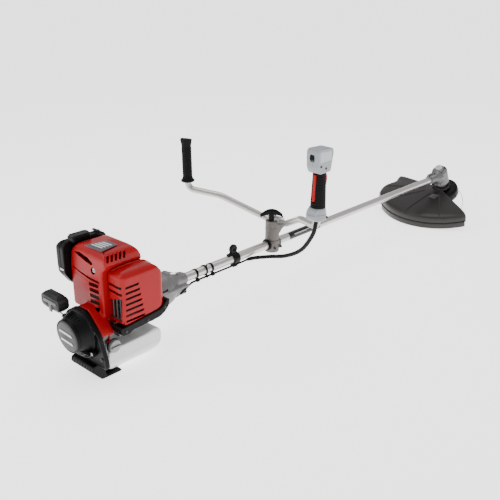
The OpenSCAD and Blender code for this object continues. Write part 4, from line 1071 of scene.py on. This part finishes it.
def throttle():
    collar = lathe("throttle_collar", [(0, 0), (0, 25.4), (1.6, 27), (6, 27), (30, 23.4), (33, 22.4),
                                       (34, 20.5), (34, 0)], axis="z", closed=False)
    move(collar, (-3, 0, 0))
    shoulder = prism("shoulder", fillet([(-32, 3), (-33, 20), (-26, 33), (4, 33), (4, 3)], 6), "y", -15, 15)
    body = mould(join(collar, shoulder), 1.5, 4)
    carve(body, [rod((0, 0, -4), (0, 0, 40), GRIP_BORE, sides=48),
                 lathe("seam", [(17, 20), (17, 40), (17.9, 40), (17.9, 20)], axis="z")])
    place(body, THROTTLE, "swivel", THROTTLE_GREY, angle=40, node="throttle_housing", slot="grey_plastic")
    profile = [(34.2, GRIP_BORE), (34.2, 21)]
    for i in range(13):
        z = 36 + 7.2 * i
        r = 21 - 3.4 * (z - 34) / 98
        profile += [(z, r), (z + 4.8, r - 0.15), (z + 5.4, r - 0.9), (z + 6.6, r - 0.9)]
    profile += [(131, 17.5), (132, GRIP_BORE)]
    grip = lathe("throttle_grip", profile, sides=72, axis="z")
    carve(grip, [block((5, -4, 60), (30, 4, 140)), block((-30, -4, 48), (-12, 4, 140))])
    place(grip, THROTTLE, "swivel", RUBBER, angle=40)
    outline = fillet([(-24, 131), (-33, 149), (-35, 190), (-28, 198), (29, 194.5), (34, 182), (24, 131)], 6)
    head = mould(prism("throttle_head", outline, "y", -19.4, 19.4), 1.3, 5)
    carve(head, [block((5, -4, 120), (40, 4, 134)), block((-30, -4, 120), (-12, 4, 131.5)),
                 block((-40, -7, 164), (-29, 7, 184)), block((-60, -0.5, 120), (-32, 0.5, 163)),
                 rod((0, 0, 125), (0, 0, 167), GRIP_BORE, sides=48)])
    carve(head, [prism("panel", fillet([(-25, 160), (-26, 191), (24, 188), (26, 160)],
                                       5), "y", -30, -18.6)])
    place(head, THROTTLE, "swivel", THROTTLE_GREY, angle=40)
    panel = mould(prism("throttle_panel", fillet([(-24.4, 160.6), (-25.4, 190.4), (23.4, 187.4),
                                                  (25.4, 160.6)], 5), "y", -19.6, -18.2), 0.5, 2)
    place(panel, THROTTLE, "swivel", PALE_GREY, angle=40)
    bolts = [bolt((x, y - 1.2, z), (x, y + 3, z), 3.4, 1.8, 2.2)
             for x, y, z in ((2, -19.4, 143), (-20, -19.4, 152), (8, -26, 8))]
    place(join(*bolts), THROTTLE, "swivel", SCREW, bevel=0.25, name="throttle_screws")


def levers():
    outline = [(15, 112), (13, 126), (18, 130), (24, 127), (31, 116), (32, 104), (27, 86), (22, 84),
               (23, 100), (18, 110)]
    trigger = prism("trigger", fillet(outline, 2.5), "y", -3.6, 3.6)
    place(trigger, THROTTLE, "trigger", RED_SATIN, bevel=0.9, segments=3,
          node="throttle_trigger", slot="red_plastic")
    outline = [(-15, 118), (-16, 127), (-22, 126), (-22, 100), (-22.5, 54), (-20, 52),
               (-17, 56), (-17, 100)]
    lock = prism("lock", fillet(outline, 2), "y", -3.6, 3.6)
    place(lock, THROTTLE, "lock", RED_SATIN, bevel=0.8, segments=3, node="lock_lever", slot="red_plastic")
    rocker = prism("switch", fillet([(-29.5, 168), (-36, 168.6), (-37.4, 174), (-36, 179.4), (-29.5, 180)],
                                    1.2), "y", -6.5, 6.5)
    carve(rocker, [block((-39, -8, 171 + 2.2 * i), (-36.2, 8, 172 + 2.2 * i)) for i in range(3)])
    place(rocker, THROTTLE, "switch", BLACK, bevel=0.4, node="stop_switch", slot="black_plastic")


CABLE_LINE = [(243, -262, 166), (252, -246, 124), (280, -188, 56), (306, -112, 8), (304, -50, -12),
              (262, -14, -15.6), (215, -12, -15.6), (120, -12, -15.6), (34, -12, -15.6),
              (8, -15, -17), (-44, -34, -22)]
SLEEVE_END = 258
WAY_OUT = 200
SLEEVE_R = 5.7


def throttle_cable():
    """The sleeve that hangs free from the grip to the tube, and the cable fixed along the tube.

    The sleeve starts behind SLEEVE_END and swings past it, so its first stretch, WAY_OUT, is skipped.
    """
    line = spaced(smooth_path(CABLE_LINE, 16), 1.0)
    last = next(i for i, p in enumerate(line) if i > WAY_OUT and p.x < SLEEVE_END)
    free, fixed = line[:last + 1], line[last:]
    sleeve = sweep("throttle_sleeve", free, lambda t: SLEEVE_R + 0.35 * math.sin(t * 2 * math.pi / 3.4), 20)
    place(sleeve, NOSE, None, BLACK)
    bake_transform(sleeve)
    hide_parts("throttle_cable")
    cable = sweep("throttle_inner_cable", fixed, 2.9, 20)
    place(cable, NOSE, "frame", RUBBER)
    collar = sweep("sleeve_collar", fixed[:14], lambda t: 6.1 - 0.15 * t, 24)
    place(collar, NOSE, "frame", BLACK)


# ---------- cutting head ----------
def gear_case():
    parts = [lathe("gear_case", [(1356, 0), (1356, 17), (1357, 18), (1397, 18), (1416, 29), (1455, 29),
                                 (1457, 27), (1457, 0)], closed=False)]
    turned = [[(-32, 0), (-32, 27), (-29, 31), (30, 31), (34, 28), (34, 0)],
              [(-46, 0), (-46, 16), (-44.5, 17.5), (-30, 18), (-30, 0)],
              [(30, 0), (30, 24), (34, 21), (60, 20), (60, 0)]]
    for profile in turned:
        piece = lathe("turned", profile, axis="z", closed=False)
        piece.data.transform(OUTPUT_IN_NOSE)
        parts.append(piece)
    for low, high in ((-12, -4), (4, 12)):
        parts.append(prism("ear", fillet([(1359, 4), (1359, 20), (1362, 22), (1392, 22), (1395, 19),
                                          (1395, 4)], 3), "y", low, high))
    parts.append(prism("rib", fillet([(1400, -14), (1400, -24), (1420, -38), (1440, -34), (1440, -14)], 3),
                       "y", -3, 3))
    body = mould(join(*parts), 1.5, 4)
    carve(body, [rod((1350, 0, 0), (1370, 0, 0), TUBE_BORE), block((1354, -2, 6), (1394, 2, 40)),
                 block((1350, -20, 21.9), (1398, 20, 40))])
    place(body, NOSE, "frame", CAST, angle=40, node="gear_case", slot="cast_metal")
    cap = lathe("gear_cap", [(-49.5, 0), (-49.5, 9), (-49, 13.2), (-47.8, 14.4), (-46, 14.4), (-46, 0)],
                axis="z", closed=False)
    carve(cap, [lathe("dish", [(-51, 0), (-51, 8), (-48.4, 7), (-48.4, 0)], axis="z", closed=False)])
    place(cap, OUTPUT, "frame", PALE_GREY)
    bolts = []
    for i in range(4):
        x, y = on_circle(24.5, 45 + 90 * i)
        bolts.append(bolt((x, y, -36), (x, y, -31), 3.6, 1.9, 2))
    place(join(*bolts), OUTPUT, "frame", SCREW, bevel=0.3, name="gear_bolts")
    plug = bolt((1426, 0, 32), (1426, 0, 29), 6, 2.4, 2, name="grease_plug", sides=6)
    place(plug, NOSE, "frame", STEEL, bevel=0.4)


RIM_FROM, RIM_TO, FLAP_TO = -55, 105, 45
RIM_R = 238
# the outline starts to follow the rim at the first radius, and follows it fully one span further out
RIM_START, RIM_SPAN = 120, 110


def rim_radius(angle):
    """The guard's outer radius at an angle. It swells at its left shoulder and draws in beyond it."""
    swell = 8 * math.exp(-((angle - 60) / 14) ** 2)
    waist = 22 * math.exp(-((angle - 92) / 10) ** 2)
    return RIM_R + swell - waist


def around(name, profile, start, end, step=2.5):
    """A profile of (radius, depth) carried round the guard's axis from start to end degrees."""
    count = int(round((end - start) / step))
    rings = []
    for i in range(count + 1):
        angle = start + (end - start) * i / count
        ring = []
        for r, down in profile:
            share = max(0.0, min(1.0, (r - RIM_START) / RIM_SPAN))
            ring.append((*on_circle(r + (rim_radius(angle) - RIM_R) * share, angle), down))
        rings.append(ring)
    return loft(name, rings)


def guard():
    outer = [(26, 50), (60, 53), (120, 57), (180, 61), (212, 64), (226, 66.5), (234, 70.5), (238, 77),
             (238.6, 84), (238.6, 96.6)]
    inner = [(235.4, 96.6), (235.4, 84), (234.8, 78), (231.5, 73), (225, 69.6), (211, 67), (180, 64),
             (120, 60), (60, 56), (26, 53)]
    cover = around("guard", outer + inner, RIM_FROM, RIM_TO)
    carve(cover, [shaft_drill(20.6, 0, 200)])
    place(cover, GUARD, "frame", GUARD_PLASTIC, angle=30, node="guard", slot="guard_plastic")
    hub = lathe("guard_hub", [(47, 20.6), (47, 30), (49, 33), (58, 33), (61, 28), (61, 20.6)], axis="z")
    place(hub, OUTPUT, "frame", GUARD_PLASTIC, bevel=0.6)
    ribs = []
    for angle in (-30, 6, 40, 74):
        top = [(*on_circle(r, angle), down - 0.2) for r, down in outer[1:8]]
        ribs.append(sweep("rib", top, 2.0, 12))
    # The rail sits at the joint between the cover and the flap. Its dark colour is partly the joint's own and
    # partly painted shade of the groove there.
    rail = around("rail", [(236, 95.8), (240.8, 95.8), (241.2, 97.6), (240.6, 98.9), (236, 98.9)], RIM_FROM,
                  RIM_TO)
    place(join(*ribs), GUARD, "frame", GUARD_PLASTIC, angle=50, name="guard_ribs")
    place(rail, GUARD, "frame", GUARD_DARK, bevel=0.3, name="guard_rail")
    under = []
    for angle in (-20, 25, 70):
        under.append(spin(prism("under", [(60, 59.5), (228, 70), (228, 77), (60, 66)], "y", -1.6, 1.6),
                          angle))
    place(join(*under), GUARD, "frame", GUARD_PLASTIC, bevel=0.4, name="guard_under_ribs")
    label = prism("guard_label", fillet([(60, -36), (60, -8), (96, -8), (96, -36)], 2), "z", 53.0, 55.2)
    place(label, GUARD, "frame", LABEL, bevel=0.2)
    flap = around("guard_flap", [(232.4, 99.2), (238, 99.2), (239.4, 101), (239.4, 118.5), (238.4, 120.4),
                                 (234, 120.4), (233, 118)], RIM_FROM + 1, FLAP_TO)
    place(flap, GUARD, "frame", GUARD_PLASTIC, angle=35, node="guard_flap", slot="guard_plastic")
    cutter = prism("line_cutter", [(216, -9), (226, -9), (226, 9), (216, 9)], "z", 104, 105.6)
    spin(cutter, RIM_FROM + 3)
    place(cutter, GUARD, "frame", STEEL, bevel=0.2)
    holder = prism("cutter_holder", [(224, -7), (234, -7), (234, 7), (224, 7)], "z", 100, 104)
    spin(holder, RIM_FROM + 3)
    place(holder, GUARD, "frame", GUARD_DARK, bevel=0.4)


def shaft_drill(radius, low, high):
    """A drill along the output shaft, in the guard's frame."""
    tool = lathe("drill", [(low, 0), (low, radius), (high, radius), (high, 0)], axis="z", closed=False)
    tool.data.transform(GUARD.inverted() @ OUTPUT)
    return tool


LINE_S = 88
LINE_ENDS = [[(-27, -51), (20, -125), (130, -125)], [(27, 51), (75, 100), (135, 125)]]


def line_head():
    profile = [(62, 0), (62, 13.6), (66, 14), (66, 49), (68, 54.5), (72, 58.4), (77, 60), (102, 60),
               (105, 58.6), (106, 56), (106, 36), (104, 36), (104, 54), (74, 54), (74, 0)]
    body = lathe("head_body", profile, sides=96, axis="z")
    grooves = []
    for i in range(20):
        x, y = on_circle(61.2, 9 + 18 * i)
        grooves.append(rod((x, y, 76), (x, y, 112), 2.6, sides=12))
    ways = [Vector((*line[0], 0)).normalized() for line in LINE_ENDS]
    level = Vector((0, 0, LINE_S))
    holes = [rod(way * 50 + level, way * 70 + level, 7.5) for way in ways]
    carve(body, [join(*grooves), *holes])
    place(body, OUTPUT, "head", BLACK, bevel=0.5, node="head_body", slot="black_plastic")
    rings = []
    for way in ways:
        ring = lathe("eyelet", [(0, 4.6), (0, 7.4), (4, 7.4), (5.2, 6.6), (5.2, 4.6)], sides=32)
        turn = Vector((1, 0, 0)).rotation_difference(way).to_matrix().to_4x4()
        ring.data.transform(Matrix.Translation(way * 56.5 + level) @ turn)
        rings.append(ring)
    place(join(*rings), OUTPUT, "head", STEEL, bevel=0.3, name="line_eyelets")
    knob = lathe("bump_knob", [(100.4, 0), (100.4, 33.4), (101.4, 34), (103.6, 34), (104.4, 30), (106, 27),
                               (111, 22), (113, 17), (113.2, 0)], axis="z", closed=False)
    dimples = []
    for i in range(6):
        x, y = on_circle(25, 60 * i)
        dimples.append(rod((x, y, 104.6), (x, y, 116), 4.5))
    carve(knob, [join(*dimples)])
    place(knob, OUTPUT, "bump", BLACK_SHINY, bevel=0.5, node="bump_knob", slot="black_plastic")


def nylon_lines():
    for i, (a, b, c) in enumerate(LINE_ENDS):
        a, b, c = (Vector((*p, LINE_S)) for p in (a, b, c))
        curve = [a * (1 - t) ** 2 + b * 2 * t * (1 - t) + c * t * t for t in [k / 60 for k in range(61)]]
        line = place(sweep("nylon_line_%d" % (i + 1), curve, 1.3, 16), OUTPUT, "head", NYLON, angle=60)
        if i == 0:
            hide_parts("cutting_line")


def primer_bulb():
    bulb = lathe("primer_bulb", [(80.6, 9.8), (84, 9.6), (89, 8.6), (92.4, 5.6), (93.4, 0), (91.6, 0),
                                 (90.6, 4.6), (87.6, 7.2), (83, 8.2), (80.6, 8.2)], axis="y")
    move(bulb, (-205, 0, 36))
    place(bulb, NOSE, "primer", PRIMER_RUBBER, node="primer_bulb", slot="grey_plastic")


# ---------- finishes of the CAD parts that show or turn inside ----------
FINISHES = {
    "cast_metal": CAST, "steel": STEEL, "red_shell": RED, "black_plastic": BLACK, "tank_plastic": TANK,
    "grey_plastic": GREY_CAP, "tube_metal": TUBE, "rubber": RUBBER, "red_plastic": RED_SATIN,
    "guard_plastic": GUARD_PLASTIC, "brass": BRASS, "iron": IRON, "felt": FELT, "nylon": NYLON,
    "orange_plastic": ORANGE, "grey_cast": BRACKET,
}
SLOT_OF = {"frame_screws": SCREW, "cap_screws": SCREW, "ignition_coil": CHARCOAL, "main_tube": TUBE}


def finish_cad_parts():
    """Gives every carried-over CAD node its finish, by its own name or by its material slot."""
    for name, obj in frame["nodes"].items():
        for holder in obj.material_slots:
            base = holder.material.name.split(".")[0] if holder.material else ""
            holder.material = SLOT_OF.get(name, FINISHES.get(base, CAST))
        if not obj.material_slots:
            obj.data.materials.append(SLOT_OF.get(name, CAST))


finish_cad_parts()
for build in (top_cover, muffler_cover, heat_tray, air_cleaner, fuel_tank, fan_case, recoil_cover, emblem,
              starter_handle, base_foot, clutch_housing, tube_labels, cable_clips, hanger, clamp_column,
              swivel_head, wing_knob, handlebar, left_grip, throttle, levers, throttle_cable, gear_case,
              guard, line_head, nylon_lines, primer_bulb):
    build()
